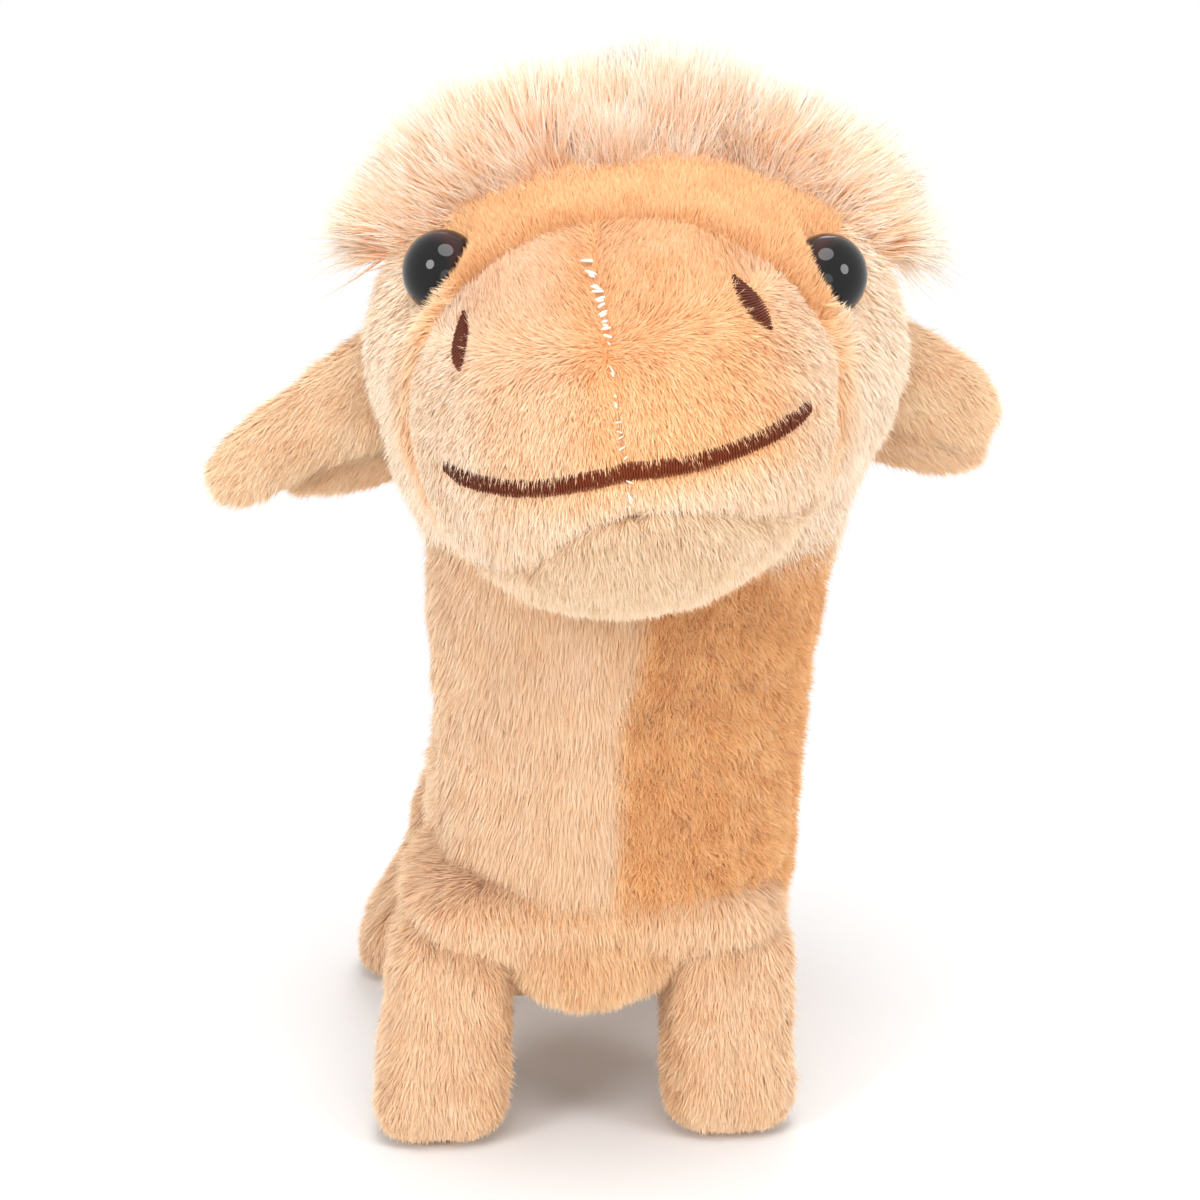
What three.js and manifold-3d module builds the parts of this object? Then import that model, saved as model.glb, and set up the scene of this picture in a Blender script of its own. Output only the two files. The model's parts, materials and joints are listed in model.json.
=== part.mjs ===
// A plush camel that walks on four jointed legs and sways its neck.
// Millimetres, +Z up. The camel faces -Y, so its left side is +X. The floor is Z = 0,
// and X = 0 lies midway between the left and right legs.

import * as THREE from 'three';
import { mergeVertices } from 'three/addons/utils/BufferGeometryUtils.js';
import Module from 'manifold-3d';

const wasm = await Module();
wasm.setup();

const degree = Math.PI / 180;

// Clearances
const seat = 0.35; // between pieces that rest on each other
const running = 0.4; // between a piece and what turns or slides in it

// Swing of the mechanism, each way from its middle
const legSwing = 12 * degree;
const neckSwing = 12 * degree;

// Pose in which the camel stands: the neck leans to its left, the head stays level
const neckLean = 6.5 * degree;

// Legs and hips
const hipHeight = 48;
const frontHipY = -12;
const wheelbase = 110;
const hindHipY = frontHipY + wheelbase;
const legMiddle = 38; // from X = 0 to the middle of a leg
const thighRadius = 18;
const thighHalfWidth = 16.5;
const legHalfWidth = 17.2;
const legHalfDepth = 17;
const footHalf = 18; // the foot is a little fuller than the shin
const soleThickness = 3;
const soleRadius = 15;
const hipAxleRadius = 2;

// Leg frame
const leverThickness = 2.6;
const leverGap = 0.6;
const leverArm = 14; // from the hip axle up to the link pin
const linkPinRadius = 1.5;
const linkPinBoss = 4;
const hipBoss = 6;
const strutNear = 29; // X of the strut's inner face
const strutFar = 33;
const strutHalfDepth = 6;
const footPlateThickness = 2.5;
const footPlateHalfDepth = 11;
const footPlateNear = 27;
const footPlateFar = 49;

// Chassis, hung on the two hip axles
const chassisHalfWidth = 17;
const chassisWall = 1.8;
const chassisFront = frontHipY - 7;
const chassisRear = hindHipY + 14;
const deckBottom = hipHeight - 6;
const deckFloor = hipHeight - 2;
const chassisSplit = hipHeight + 8;
const chassisRoof = hipHeight + 40;
const hoodRoof = hipHeight + 31; // lower roof in front, under the neck
const bulkheadY = 26;
const bulkheadThickness = 2;

// Link rods
const rodThickness = 2;
const rodHalfHeight = 3;
const rodGap = 0.6;
const yokeRim = 2;

// Battery box and belly
const cellRadius = 7.25;
const cellLength = 50.5;
const cellCount = 3;
const cellGap = 0.3;
const contactThickness = 0.8;
const batteryWall = 1.2;
const batteryFront = 16;
const batteryBoxBottom = hipHeight - 20.7;
const doorBottom = batteryBoxBottom - 3.3;
const doorScrewRadius = 2.5;
const screwCoreRadius = 1.2;
const doorTabHalf = 8;
const switchHalfWidth = 4;
const switchWall = 2;
const switchLength = 10;
const knobHalf = 2.5;
const switchTravel = 3;

// Gear train: module, teeth and the planes that the gears lie in
const toothModule = 0.7;
const wheelTeeth = 36;
const pinionTeeth = 9;
const gearSlack = 0.15; // added to each centre distance
const gearRise = 8; // the shafts stand in a zigzag of this height
const gearThickness = 2.2;
const planeA = 4;
const planeB = 7;
const planeC = 10.4;
const gearAxleRadius = 1;

// Crankshaft
const crankY = hindHipY - 50;
const crankHeight = hipHeight + leverArm;
const shaftRadius = 1.5;
const crankThrow = leverArm * Math.sin(legSwing);
const crankPinRadius = 1.5;
const crankDiscRadius = 6;
const camX = -6;
const camRadius = 9.5;
const camHalfThickness = 0.8;
const camGrip = 8; // height above the shaft at which the fork feels the cam

// Motor, speaker and board
const motorRadius = 10;
const motorFlat = 7.5;
const motorLength = 24;
const speakerRadius = 13.5;
const speakerDepth = 4.5;
const speakerHeight = chassisSplit + 12;
const speakerHoleRing = 7;
const soundHoleRadius = 1.2;
const boardLength = 38;
const boardWidth = 26;
const boardThickness = 1.6;
const boardGap = 1.4;

// Neck
const neckPivotHeight = crankHeight;
const neckLength = 100; // from the neck's pivot to the head's pivot
const neckFront = -36;
const neckBack = 34;
const neckHalfWidth = 49; // where the head sits on it
const neckHalfDepth = (neckBack - neckFront) / 2;
const apronThickness = 2.6; // the neck's front panel hangs over the chest
const chestFront = neckFront + apronThickness + running;
const domeRadius = 25.7;
const skirtAngle = 66 * degree; // how far round the dome the neck's skirt reaches
const mastHalfWidth = 5;
const mastFront = -24;
const mastThickness = 4;
const neckShaftRadius = 2;
const forkFinger = 1.6;
const forkThickness = 2;
const headPinRadius = 2;
const headFrameThickness = 3;
const headBarHalf = 16; // bar across the head frame's top
const headBarHeight = 8;

// Head, in a frame at the head's pivot
const headRim = 13; // the head's hem on the neck, above its pivot
const headSocket = 49.4; // radius of the hollow that the neck's round top fills
const skull = { middle: [0, -2, 42], half: [66, 58, 50] };
const snout = { middle: [-7, -52, 32], half: [47, 52, 42] };
const snoutTurn = -5 * degree; // the snout is sewn on turned a little to its right
const snoutTwist = -9.5 * degree; // and twisted, one mouth corner higher
const chinSeamBelow = 15; // below the snout's middle
const eyeRadius = 9.8;
const eyeSpots = { right: [-47.5, -33, 63.5], left: [43, -38, 62.5] };
const eyeStemRadius = 2.2;
const eyeStemLength = 15;
const framePlateTop = 62; // above the head's pivot
const earHalfWidth = 17;
const earHalfThickness = 5.6;
const earPlaces = {
  right: { root: [-63, 9, 38], tip: [-103, 7, 10] },
  left: { root: [64, 9, 38], tip: [93, 15, 16] },
};
const maneHalf = [79, 33, 64];
const maneMiddle = [2, 6, 50];
const maneHem = 62; // the mane ends at this height on both sides

// Body plush
const trunkStart = frontHipY + thighRadius + 2.4;
const trunkHalfWidth = 40.5;
const trunkHalfHeight = 41.5;
const trunkMiddleHeight = hipHeight + 17.5;
const trunkRear = hindHipY + 33;
const cavityHalfWidth = 24;
const cavityFloor = hipHeight - 21;
const chestHalfWidth = 27;
const chestHalfHeight = 18.4;
const chestMiddleHeight = hipHeight - 0.4;
const shoulderTop = hipHeight + 18.5;
const humpHalf = [25, 0.18 * wheelbase, 33];
const humpTuftHalf = [16, 15, 14];
const humpSink = 4; // a hump's middle lies this far below the back
const humpTuftRise = 24; // and its tuft's middle this far above it
const frontHumpY = frontHipY + 0.645 * wheelbase;
const rearHumpY = frontHipY + 1.018 * wheelbase;
const rearHumpSize = 0.92;
const tailRadius = 5.4;
const tailTuftHalf = [7, 7, 13];

// Colours, roughness and metalness
const paint = {
  peach: { color: 0xf7cf9f, roughness: 0.95, metalness: 0 },
  pale: { color: 0xf4d6b4, roughness: 0.95, metalness: 0 },
  cream: { color: 0xf6e2c6, roughness: 0.95, metalness: 0 },
  pile: { color: 0xfbe3cf, roughness: 0.95, metalness: 0 },
  eye: { color: 0x100c0b, roughness: 0.08, metalness: 0 },
  shell: { color: 0xe8e4da, roughness: 0.5, metalness: 0 },
  nylon: { color: 0xf2efe6, roughness: 0.45, metalness: 0 },
  door: { color: 0xd9b78f, roughness: 0.5, metalness: 0 },
  steel: { color: 0xb9bcc0, roughness: 0.3, metalness: 1 },
  cell: { color: 0x3c5a7a, roughness: 0.35, metalness: 0 },
  board: { color: 0x2f6b3c, roughness: 0.5, metalness: 0 },
  black: { color: 0x1d1d1f, roughness: 0.5, metalness: 0 },
};

// Facets of the big round seats, and the radius of a hollow whose flats clear a round piece
const roundSides = 28;
const outside = (radius) => radius / Math.cos(Math.PI / roundSides);

// Solids from three.js geometry

function solid(geometry) {
  const bare = geometry.clone();
  bare.deleteAttribute('normal');
  bare.deleteAttribute('uv');
  const merged = mergeVertices(bare, 1e-4);
  const corners = [];
  for (let i = 0; i < merged.index.count; i += 3) {
    const [a, b, c] = [0, 1, 2].map((k) => merged.index.getX(i + k));
    if (a !== b && b !== c && c !== a) corners.push(a, b, c);
  }
  return new wasm.Manifold(new wasm.Mesh({
    numProp: 3,
    vertProperties: new Float32Array(merged.attributes.position.array),
    triVerts: new Uint32Array(corners),
  }));
}

function piece(name, body, finish) {
  const { vertProperties, triVerts } = body.getMesh();
  const geometry = new THREE.BufferGeometry();
  geometry.setAttribute('position', new THREE.BufferAttribute(vertProperties, 3));
  geometry.setIndex(new THREE.BufferAttribute(triVerts, 1));
  geometry.computeVertexNormals();
  const mesh = new THREE.Mesh(geometry, new THREE.MeshStandardMaterial(finish));
  mesh.name = name;
  return mesh;
}

function box(x0, x1, y0, y1, z0, z1) {
  const geometry = new THREE.BoxGeometry(Math.abs(x1 - x0), y1 - y0, z1 - z0);
  return solid(geometry.translate((x0 + x1) / 2, (y0 + y1) / 2, (z0 + z1) / 2));
}

function rodX(radius, x0, x1, y, z, sides = 12) {
  const geometry = new THREE.CylinderGeometry(radius, radius, Math.abs(x1 - x0), sides);
  return solid(geometry.rotateZ(Math.PI / 2).translate((x0 + x1) / 2, y, z));
}

function rodY(radius, y0, y1, x, z, sides = 12) {
  const geometry = new THREE.CylinderGeometry(radius, radius, y1 - y0, sides);
  return solid(geometry.translate(x, (y0 + y1) / 2, z));
}

function rodZ(radius, z0, z1, x, y, sides = 12) {
  const geometry = new THREE.CylinderGeometry(radius, radius, z1 - z0, sides);
  return solid(geometry.rotateX(Math.PI / 2).translate(x, y, (z0 + z1) / 2));
}

function ball(middle, half, around = 24, down = 14, turn = null) {
  const geometry = new THREE.SphereGeometry(1, around, down);
  geometry.rotateX(Math.PI / 2).scale(...half).translate(...middle);
  if (turn) geometry.applyMatrix4(turn);
  return solid(geometry);
}

// A plate in the YZ plane, its outline given as [y, z] points, from x0 to x1
function plateX(outline, x0, x1) {
  const shape = new THREE.Shape(outline.map(([y, z]) => new THREE.Vector2(y, z)));
  const depth = Math.abs(x1 - x0);
  const geometry = new THREE.ExtrudeGeometry(shape, { depth, bevelEnabled: false });
  geometry.applyMatrix4(new THREE.Matrix4().makeBasis(
    new THREE.Vector3(0, 1, 0), new THREE.Vector3(0, 0, 1), new THREE.Vector3(1, 0, 0)));
  return solid(geometry.translate(Math.min(x0, x1), 0, 0));
}

// A plate in the XZ plane, its outline given as [x, z] points, from y0 to y1
function plateY(outline, y0, y1) {
  const shape = new THREE.Shape(outline.map(([x, z]) => new THREE.Vector2(x, z)));
  const geometry = new THREE.ExtrudeGeometry(shape, { depth: y1 - y0, bevelEnabled: false });
  geometry.applyMatrix4(new THREE.Matrix4().makeBasis(
    new THREE.Vector3(1, 0, 0), new THREE.Vector3(0, 0, 1), new THREE.Vector3(0, -1, 0)));
  return solid(geometry.translate(0, y1, 0));
}

// A stuffed form: rounded sections, each { middle, half } square to the axis 'y' or 'z',
// with squareness 2 for an ellipse and more for a boxier section
function stuffed(sections, axis, sides = 24, squareness = 2.2, turn = null) {
  const positions = [];
  const index = [];
  const ring = (section) => {
    for (let i = 0; i < sides; i += 1) {
      const angle = (2 * Math.PI * i) / sides;
      const [c, s] = [Math.cos(angle), Math.sin(angle)];
      const u = section.half[0] * Math.sign(c) * Math.abs(c) ** (2 / squareness);
      const v = section.half[1] * Math.sign(s) * Math.abs(s) ** (2 / squareness);
      const [x, y, z] = section.middle;
      if (axis === 'z') positions.push(x + u, y + v, z);
      else positions.push(x + u, y, z + v);
    }
  };
  sections.forEach(ring);
  positions.push(...sections[0].middle, ...sections[sections.length - 1].middle);
  const firstCap = sections.length * sides;
  const lastCap = firstCap + 1;
  const last = (sections.length - 1) * sides;
  const face = (a, b, c) => (axis === 'z' ? index.push(a, b, c) : index.push(a, c, b));
  for (let i = 0; i < sides; i += 1) {
    const next = (i + 1) % sides;
    face(firstCap, next, i);
    face(lastCap, last + i, last + next);
    for (let r = 0; r < sections.length - 1; r += 1) {
      const [a, b] = [r * sides + i, r * sides + next];
      face(a, b, b + sides);
      face(a, b + sides, a + sides);
    }
  }
  const geometry = new THREE.BufferGeometry();
  geometry.setAttribute('position', new THREE.Float32BufferAttribute(positions, 3));
  geometry.setIndex(index);
  if (turn) geometry.applyMatrix4(turn);
  return solid(geometry);
}

// Round-ended strap in the YZ plane between two centres
function strap(y0, z0, y1, z1, radius, x0, x1) {
  const along = Math.atan2(z1 - z0, y1 - y0);
  const outline = [];
  const arc = (y, z, from) => {
    for (let i = 0; i <= 6; i += 1) {
      const angle = from + (Math.PI * i) / 6;
      outline.push([y + radius * Math.cos(angle), z + radius * Math.sin(angle)]);
    }
  };
  arc(y1, z1, along - Math.PI / 2);
  arc(y0, z0, along + Math.PI / 2);
  return plateX(outline, x0, x1);
}

const toy = new THREE.Group();
const neck = new THREE.Group();
const head = new THREE.Group();
neck.position.set(0, 0, neckPivotHeight);
neck.rotation.y = neckLean;
head.position.set(0, 0, neckLength);
head.rotation.y = -neckLean;
toy.add(neck);
neck.add(head);

// Places that several pieces share
const leverNear = chassisHalfWidth + leverGap;
const leverFar = leverNear + leverThickness;
const rodNear = leverFar + rodGap;
const rodFar = rodNear + rodThickness;
const linkPinTip = rodFar + 0.5;
const innerHalfWidth = chassisHalfWidth - chassisWall;
const batteryHalfWidth = (cellCount * (2 * cellRadius + cellGap) + cellGap) / 2 + batteryWall;
const batteryLength = cellLength + 2 * (contactThickness + 2 * seat) + 2 * batteryWall;
const batteryEnd = batteryFront + batteryLength;
const cellHeight = batteryBoxBottom + cellRadius + 1;
const yokeHalfLength = crankPinRadius + 2 * crankThrow + running;
const yokeHalfHeight = crankPinRadius + crankThrow + running + 0.4;

// Gear shafts in a zigzag behind the crankshaft
const wheelRadius = (toothModule * wheelTeeth) / 2;
const pinionRadius = (toothModule * pinionTeeth) / 2;
const gearDistance = wheelRadius + pinionRadius + gearSlack;
const gearStep = Math.sqrt(gearDistance ** 2 - gearRise ** 2);
const gearShaft = [0, 1, 2, 3].map((i) => ({
  y: crankY + i * gearStep,
  z: crankHeight + (i % 2) * gearRise,
}));

// Toothed wheel about the X axis through (y, z), with one tooth pointing along the angle
function gear(teeth, x0, x1, { y, z }, toothAngle) {
  const pitchRadius = (toothModule * teeth) / 2;
  const tip = pitchRadius + 0.85 * toothModule;
  const root = pitchRadius - 1.15 * toothModule;
  const step = (2 * Math.PI) / teeth;
  const outline = [];
  for (let i = 0; i < teeth; i += 1) {
    for (const [radius, share] of [[root, -0.27], [tip, -0.12], [tip, 0.12], [root, 0.27]]) {
      const angle = toothAngle + (i + share) * step;
      outline.push([y + radius * Math.cos(angle), z + radius * Math.sin(angle)]);
    }
  }
  return plateX(outline, x0, x1);
}

// Angle from one gear shaft to another, in the YZ plane
function bearing(from, to) {
  return Math.atan2(to.z - from.z, to.y - from.y);
}

// Chassis

const batteryBox = box(-batteryHalfWidth, batteryHalfWidth, batteryFront, batteryEnd,
  batteryBoxBottom, deckFloor);
const batteryHollow = box(-batteryHalfWidth + batteryWall, batteryHalfWidth - batteryWall,
  batteryFront + batteryWall, batteryEnd - batteryWall,
  batteryBoxBottom - 1, cellHeight + cellRadius + cellGap);
const switchY = batteryEnd + 1 + switchLength / 2;
const switchEnd = switchY + switchLength / 2 + switchWall;
const switchBox = box(-switchHalfWidth - switchWall, switchHalfWidth + switchWall, batteryEnd - 1,
  switchEnd, batteryBoxBottom, deckFloor);
const switchHollow = box(-switchHalfWidth - running, switchHalfWidth + running,
  switchY - switchLength / 2 - running, switchY + switchLength / 2 + running,
  batteryBoxBottom - 1, batteryBoxBottom + 9);
const screwPost = rodZ(doorScrewRadius + 1.5, batteryBoxBottom, deckFloor,
  0, batteryFront - doorScrewRadius - 1, 16);
const screwHole = rodZ(screwCoreRadius + running, batteryBoxBottom - 1, deckFloor - 4,
  0, batteryFront - doorScrewRadius - 1, 12);
const deck = box(-chassisHalfWidth, chassisHalfWidth, chassisFront, chassisRear,
  deckBottom, chassisSplit)
  .subtract(box(-innerHalfWidth, innerHalfWidth, chassisFront + chassisWall,
    chassisRear - chassisWall, deckFloor, chassisSplit + 1));
let chassisLower = deck.add(batteryBox).add(switchBox).add(screwPost)
  .subtract(batteryHollow).subtract(switchHollow).subtract(screwHole);
for (const hipY of [frontHipY, hindHipY]) {
  chassisLower = chassisLower.subtract(rodX(hipAxleRadius + seat,
    -chassisHalfWidth - 1, chassisHalfWidth + 1, hipY, hipHeight));
}
toy.add(piece('chassis_lower', chassisLower, paint.shell));

const coverBottom = chassisSplit + seat;
const hoodEnd = neckBack;
let chassisUpper = box(-chassisHalfWidth, chassisHalfWidth, chassisFront, hoodEnd + chassisWall,
  coverBottom, hoodRoof)
  .add(box(-chassisHalfWidth, chassisHalfWidth, hoodEnd, chassisRear, coverBottom, chassisRoof))
  .subtract(box(-innerHalfWidth, innerHalfWidth, chassisFront + chassisWall, hoodEnd + 2 * chassisWall,
    coverBottom - 1, hoodRoof - chassisWall))
  .subtract(box(-innerHalfWidth, innerHalfWidth, hoodEnd + chassisWall, chassisRear - chassisWall,
    coverBottom - 1, chassisRoof - chassisWall))
  .add(box(-chassisHalfWidth, chassisHalfWidth, bulkheadY, bulkheadY + bulkheadThickness,
    coverBottom, hoodRoof - 1))
  .subtract(rodY(neckShaftRadius + running, chassisFront - 1, bulkheadY + bulkheadThickness + 1,
    0, neckPivotHeight))
  .subtract(rodX(shaftRadius + running, -chassisHalfWidth - 1, chassisHalfWidth + 1,
    crankY, crankHeight));
const speakerY = chassisRear - chassisWall - seat - speakerDepth;
for (let ring = 0; ring < 2; ring += 1) {
  const holes = ring === 0 ? 1 : 6;
  for (let i = 0; i < holes; i += 1) {
    const angle = (2 * Math.PI * i) / holes;
    const out = ring * speakerHoleRing;
    chassisUpper = chassisUpper.subtract(rodY(soundHoleRadius,
      chassisRear - chassisWall - 1, chassisRear + 1,
      out * Math.cos(angle), speakerHeight + out * Math.sin(angle), 6));
  }
}
toy.add(piece('chassis_upper', chassisUpper, paint.shell));

const gearboxPlateX = 1.2;
const gearboxPlateThickness = 1.6;
const gearboxPlateFar = gearboxPlateX + gearboxPlateThickness;
const axleHole = gearAxleRadius + 0.3;
const plateFront = gearShaft[1].y - 9;
const plateRear = gearShaft[2].y + 4;
let gearboxPlate = box(gearboxPlateX, gearboxPlateFar, plateFront, plateRear,
  deckFloor + seat, chassisRoof - chassisWall - 2 * boardGap - boardThickness - 2)
  .subtract(rodX(motorRadius + running, gearboxPlateX - 1, gearboxPlateFar + 1,
    gearShaft[3].y, gearShaft[3].z, 24));
for (const shaft of gearShaft.slice(1, 3)) {
  gearboxPlate = gearboxPlate.subtract(rodX(axleHole, gearboxPlateX - 1,
    gearboxPlateFar + 1, shaft.y, shaft.z, 12));
}
toy.add(piece('gearbox_plate', gearboxPlate, paint.shell));

gearShaft.slice(1, 3).forEach((shaft, i) => {
  const axle = rodX(gearAxleRadius, gearboxPlateX, innerHalfWidth - 0.3, shaft.y, shaft.z, 12);
  toy.add(piece(`gear_axle_${i + 1}`, axle, paint.steel));
});

for (const [name, hipY] of [['front_hip_axle', frontHipY], ['hind_hip_axle', hindHipY]]) {
  toy.add(piece(name, rodX(hipAxleRadius, -strutFar, strutFar, hipY, hipHeight), paint.steel));
}

// Motor, electronics and cells

const motorFace = planeC - 0.8;
const motorShaft = gearShaft[3];
const motorReach = 2 * motorRadius;
const [motorLow, motorHigh] = [motorShaft.z - motorReach, motorShaft.z + motorReach];
const motorBody = rodX(motorRadius, motorFace - motorLength, motorFace, motorShaft.y, motorShaft.z, 24)
  .subtract(box(-motorReach, motorReach, motorShaft.y + motorFlat, motorShaft.y + motorReach,
    motorLow, motorHigh))
  .subtract(box(-motorReach, motorReach, motorShaft.y - motorReach, motorShaft.y - motorFlat,
    motorLow, motorHigh))
  .add(rodX(gearAxleRadius, motorFace - 1, planeC + 3.4, motorShaft.y, motorShaft.z, 12));
toy.add(piece('motor', motorBody, paint.steel));

const speaker = rodY(speakerRadius, speakerY, speakerY + speakerDepth, 0, speakerHeight, 24)
  .add(rodY(speakerRadius / 2, speakerY - 2, speakerY + 1, 0, speakerHeight, 16));
toy.add(piece('speaker', speaker, paint.black));

const boardTop = chassisRoof - chassisWall - boardGap;
const boardFront = crankY - 6;
let board = box(-boardWidth / 2, boardWidth / 2, boardFront, boardFront + boardLength,
  boardTop - boardThickness, boardTop)
  .add(rodZ(3.5, boardTop - boardThickness - 1.2, boardTop - boardThickness + 0.5,
    -6, boardFront + 8, 12));
const boardPostInset = 3;
for (const side of [-1, 1]) {
  for (const y of [boardPostInset, boardLength - boardPostInset]) {
    board = board.add(rodZ(1.2, boardTop - 0.5, boardTop + boardGap - seat,
      side * (boardWidth / 2 - boardPostInset), boardFront + y, 8));
  }
}
toy.add(piece('circuit_board', board, paint.board));

const switchBodyBottom = batteryBoxBottom + 2;
const knobBottom = doorBottom + 0.5;
const knobSlot = (knobHalf + switchTravel) / 2 + 4 * running;
const switchHousing = box(-switchHalfWidth, switchHalfWidth, switchY - switchLength / 2,
  switchY + switchLength / 2, switchBodyBottom, batteryBoxBottom + 8.6)
  .subtract(box(-knobHalf - running, knobHalf + running,
    switchY - knobSlot, switchY + knobSlot, switchBodyBottom - 1, switchBodyBottom + 2.5));
toy.add(piece('switch_housing', switchHousing, paint.black));
const knobY = switchY - switchTravel / 2;
const switchSlider = box(-knobHalf, knobHalf, knobY - knobHalf / 2, knobY + knobHalf / 2,
  knobBottom, switchBodyBottom + 2);
toy.add(piece('switch_slider', switchSlider, paint.black));

const cellFront = batteryFront + batteryWall + contactThickness + 2 * seat;
for (let i = 0; i < cellCount; i += 1) {
  const x = (i - (cellCount - 1) / 2) * (2 * cellRadius + cellGap);
  const end = cellFront + cellLength;
  const [tipFront, tipRear] = i % 2 === 0 ? [cellFront, end - 1.5] : [cellFront + 1.5, end];
  const cell = rodY(cellRadius, tipFront, tipRear, x, cellHeight, 16)
    .add(rodY(2.6, cellFront, end, x, cellHeight, 10));
  toy.add(piece(`battery_${i + 1}`, cell, paint.cell));
}
const contactHalf = batteryHalfWidth - batteryWall - seat;
for (const [name, y] of [['front_contact', cellFront - seat - contactThickness],
  ['rear_contact', cellFront + cellLength + seat]]) {
  toy.add(piece(name, box(-contactHalf, contactHalf, y, y + contactThickness,
    batteryBoxBottom + 2, cellHeight + cellRadius - 1), paint.steel));
}

// Battery door with its screw

const doorFront = batteryFront - 2 * doorScrewRadius - 4;
const doorRear = batteryEnd - 0.5;
const screwY = batteryFront - doorScrewRadius - 1;
const door = box(-batteryHalfWidth, batteryHalfWidth, batteryFront, doorRear,
  doorBottom, batteryBoxBottom - seat)
  .add(box(-doorTabHalf, doorTabHalf, doorFront, batteryFront + 1, doorBottom,
    batteryBoxBottom - seat))
  .subtract(rodZ(doorScrewRadius + 0.3, doorBottom - 1, doorBottom + 2, 0, screwY, 16))
  .subtract(rodZ(screwCoreRadius + 0.3, doorBottom, batteryBoxBottom + 1, 0, screwY, 12));
toy.add(piece('battery_door', door, paint.door));
const screw = rodZ(doorScrewRadius, doorBottom, doorBottom + 1.7, 0, screwY, 16)
  .add(rodZ(screwCoreRadius, doorBottom + 1, batteryBoxBottom + 8, 0, screwY, 12))
  .subtract(box(-1.8, 1.8, screwY - 0.4, screwY + 0.4, doorBottom - 1, doorBottom + 0.8))
  .subtract(box(-0.4, 0.4, screwY - 1.8, screwY + 1.8, doorBottom - 1, doorBottom + 0.8));
toy.add(piece('battery_door_screw', screw, paint.steel));

// Gears. A tooth of each wheel points at the pinion that drives it, and the pinion
// has a gap there.

const pinionGap = Math.PI / pinionTeeth;

function bored(wheel, shaft) {
  return wheel.subtract(rodX(axleHole, -chassisHalfWidth, chassisHalfWidth, shaft.y, shaft.z, 12));
}

const driveGear = gear(wheelTeeth, planeA, planeA + gearThickness, gearShaft[0],
  bearing(gearShaft[0], gearShaft[1]))
  .subtract(rodX(shaftRadius + 0.3, 0, chassisHalfWidth, gearShaft[0].y, gearShaft[0].z, 12));
toy.add(piece('drive_gear', driveGear, paint.nylon));

function compoundGear(i, wheelX, pinionX) {
  const [before, shaft, after] = gearShaft.slice(i - 1, i + 2);
  const wheelAngle = bearing(shaft, after);
  const pinionAngle = bearing(shaft, before) + pinionGap;
  return bored(gear(wheelTeeth, wheelX, wheelX + gearThickness, shaft, wheelAngle)
    .add(gear(pinionTeeth, pinionX - 0.4, wheelX + 0.2, shaft, pinionAngle)), shaft);
}
toy.add(piece('compound_gear_2', compoundGear(1, planeB, planeA), paint.nylon));
toy.add(piece('compound_gear_1', compoundGear(2, planeC, planeB), paint.nylon));

const motorPinion = bored(gear(pinionTeeth, planeC - 0.3, planeC + gearThickness + 0.4, gearShaft[3],
  bearing(gearShaft[3], gearShaft[2]) + pinionGap), gearShaft[3]);
toy.add(piece('motor_pinion', motorPinion, paint.nylon));

// Crankshaft: two pins half a turn apart drive the link rods, a tilted cam sways the neck

function tiltedCam() {
  const geometry = new THREE.CylinderGeometry(camRadius, camRadius, 2 * camHalfThickness, 24);
  const wobble = Math.atan(Math.tan(neckSwing) * 0.95);
  const phase = Math.asin(Math.sin(neckLean) / Math.sin(neckSwing));
  geometry.rotateZ(Math.PI / 2).rotateZ(-wobble).rotateX(Math.PI / 2 - phase);
  return solid(geometry.translate(camX, crankY, crankHeight));
}
let crankshaft = rodX(shaftRadius, -leverFar, leverFar, crankY, crankHeight, 12).add(tiltedCam());
for (const side of [1, -1]) {
  const pinZ = crankHeight + side * crankThrow;
  crankshaft = crankshaft
    .add(rodX(crankDiscRadius, side * leverNear, side * leverFar, crankY, crankHeight, 20))
    .add(rodX(crankPinRadius, side * (leverNear + 0.5), side * linkPinTip, crankY, pinZ, 12));
}
toy.add(piece('crankshaft', crankshaft, paint.nylon));

// Link rods: each joins a front and a hind leg frame, and its yoke takes the crank pin

for (const [word, side] of [['left', 1], ['right', -1]]) {
  const [x0, x1] = [side * rodNear, side * rodFar];
  const [z, reach] = [crankHeight, 30];
  const rod = strap(frontHipY, z, hindHipY, z, rodHalfHeight, x0, x1)
    .add(strap(frontHipY, z, frontHipY + 0.1, z, linkPinBoss, x0, x1))
    .add(strap(hindHipY, z, hindHipY + 0.1, z, linkPinBoss, x0, x1))
    .add(plateX([[crankY - yokeHalfLength - yokeRim, z - yokeHalfHeight - yokeRim],
      [crankY + yokeHalfLength + yokeRim, z - yokeHalfHeight - yokeRim],
      [crankY + yokeHalfLength + yokeRim, z + yokeHalfHeight + yokeRim],
      [crankY - yokeHalfLength - yokeRim, z + yokeHalfHeight + yokeRim]], x0, x1))
    .subtract(box(-reach, reach, crankY - yokeHalfLength, crankY + yokeHalfLength,
      z - yokeHalfHeight, z + yokeHalfHeight))
    .subtract(rodX(linkPinRadius + running, -reach, reach, frontHipY, z))
    .subtract(rodX(linkPinRadius + running, -reach, reach, hindHipY, z));
  toy.add(piece(`${word}_link_rod`, rod, paint.nylon));
}

// Legs

const plushBottom = soleThickness + seat;
const leverRoomTop = hipHeight - 14; // above this the leg's plush stays clear of the link rods
const strutBottom = plushBottom + 1.5;

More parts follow.
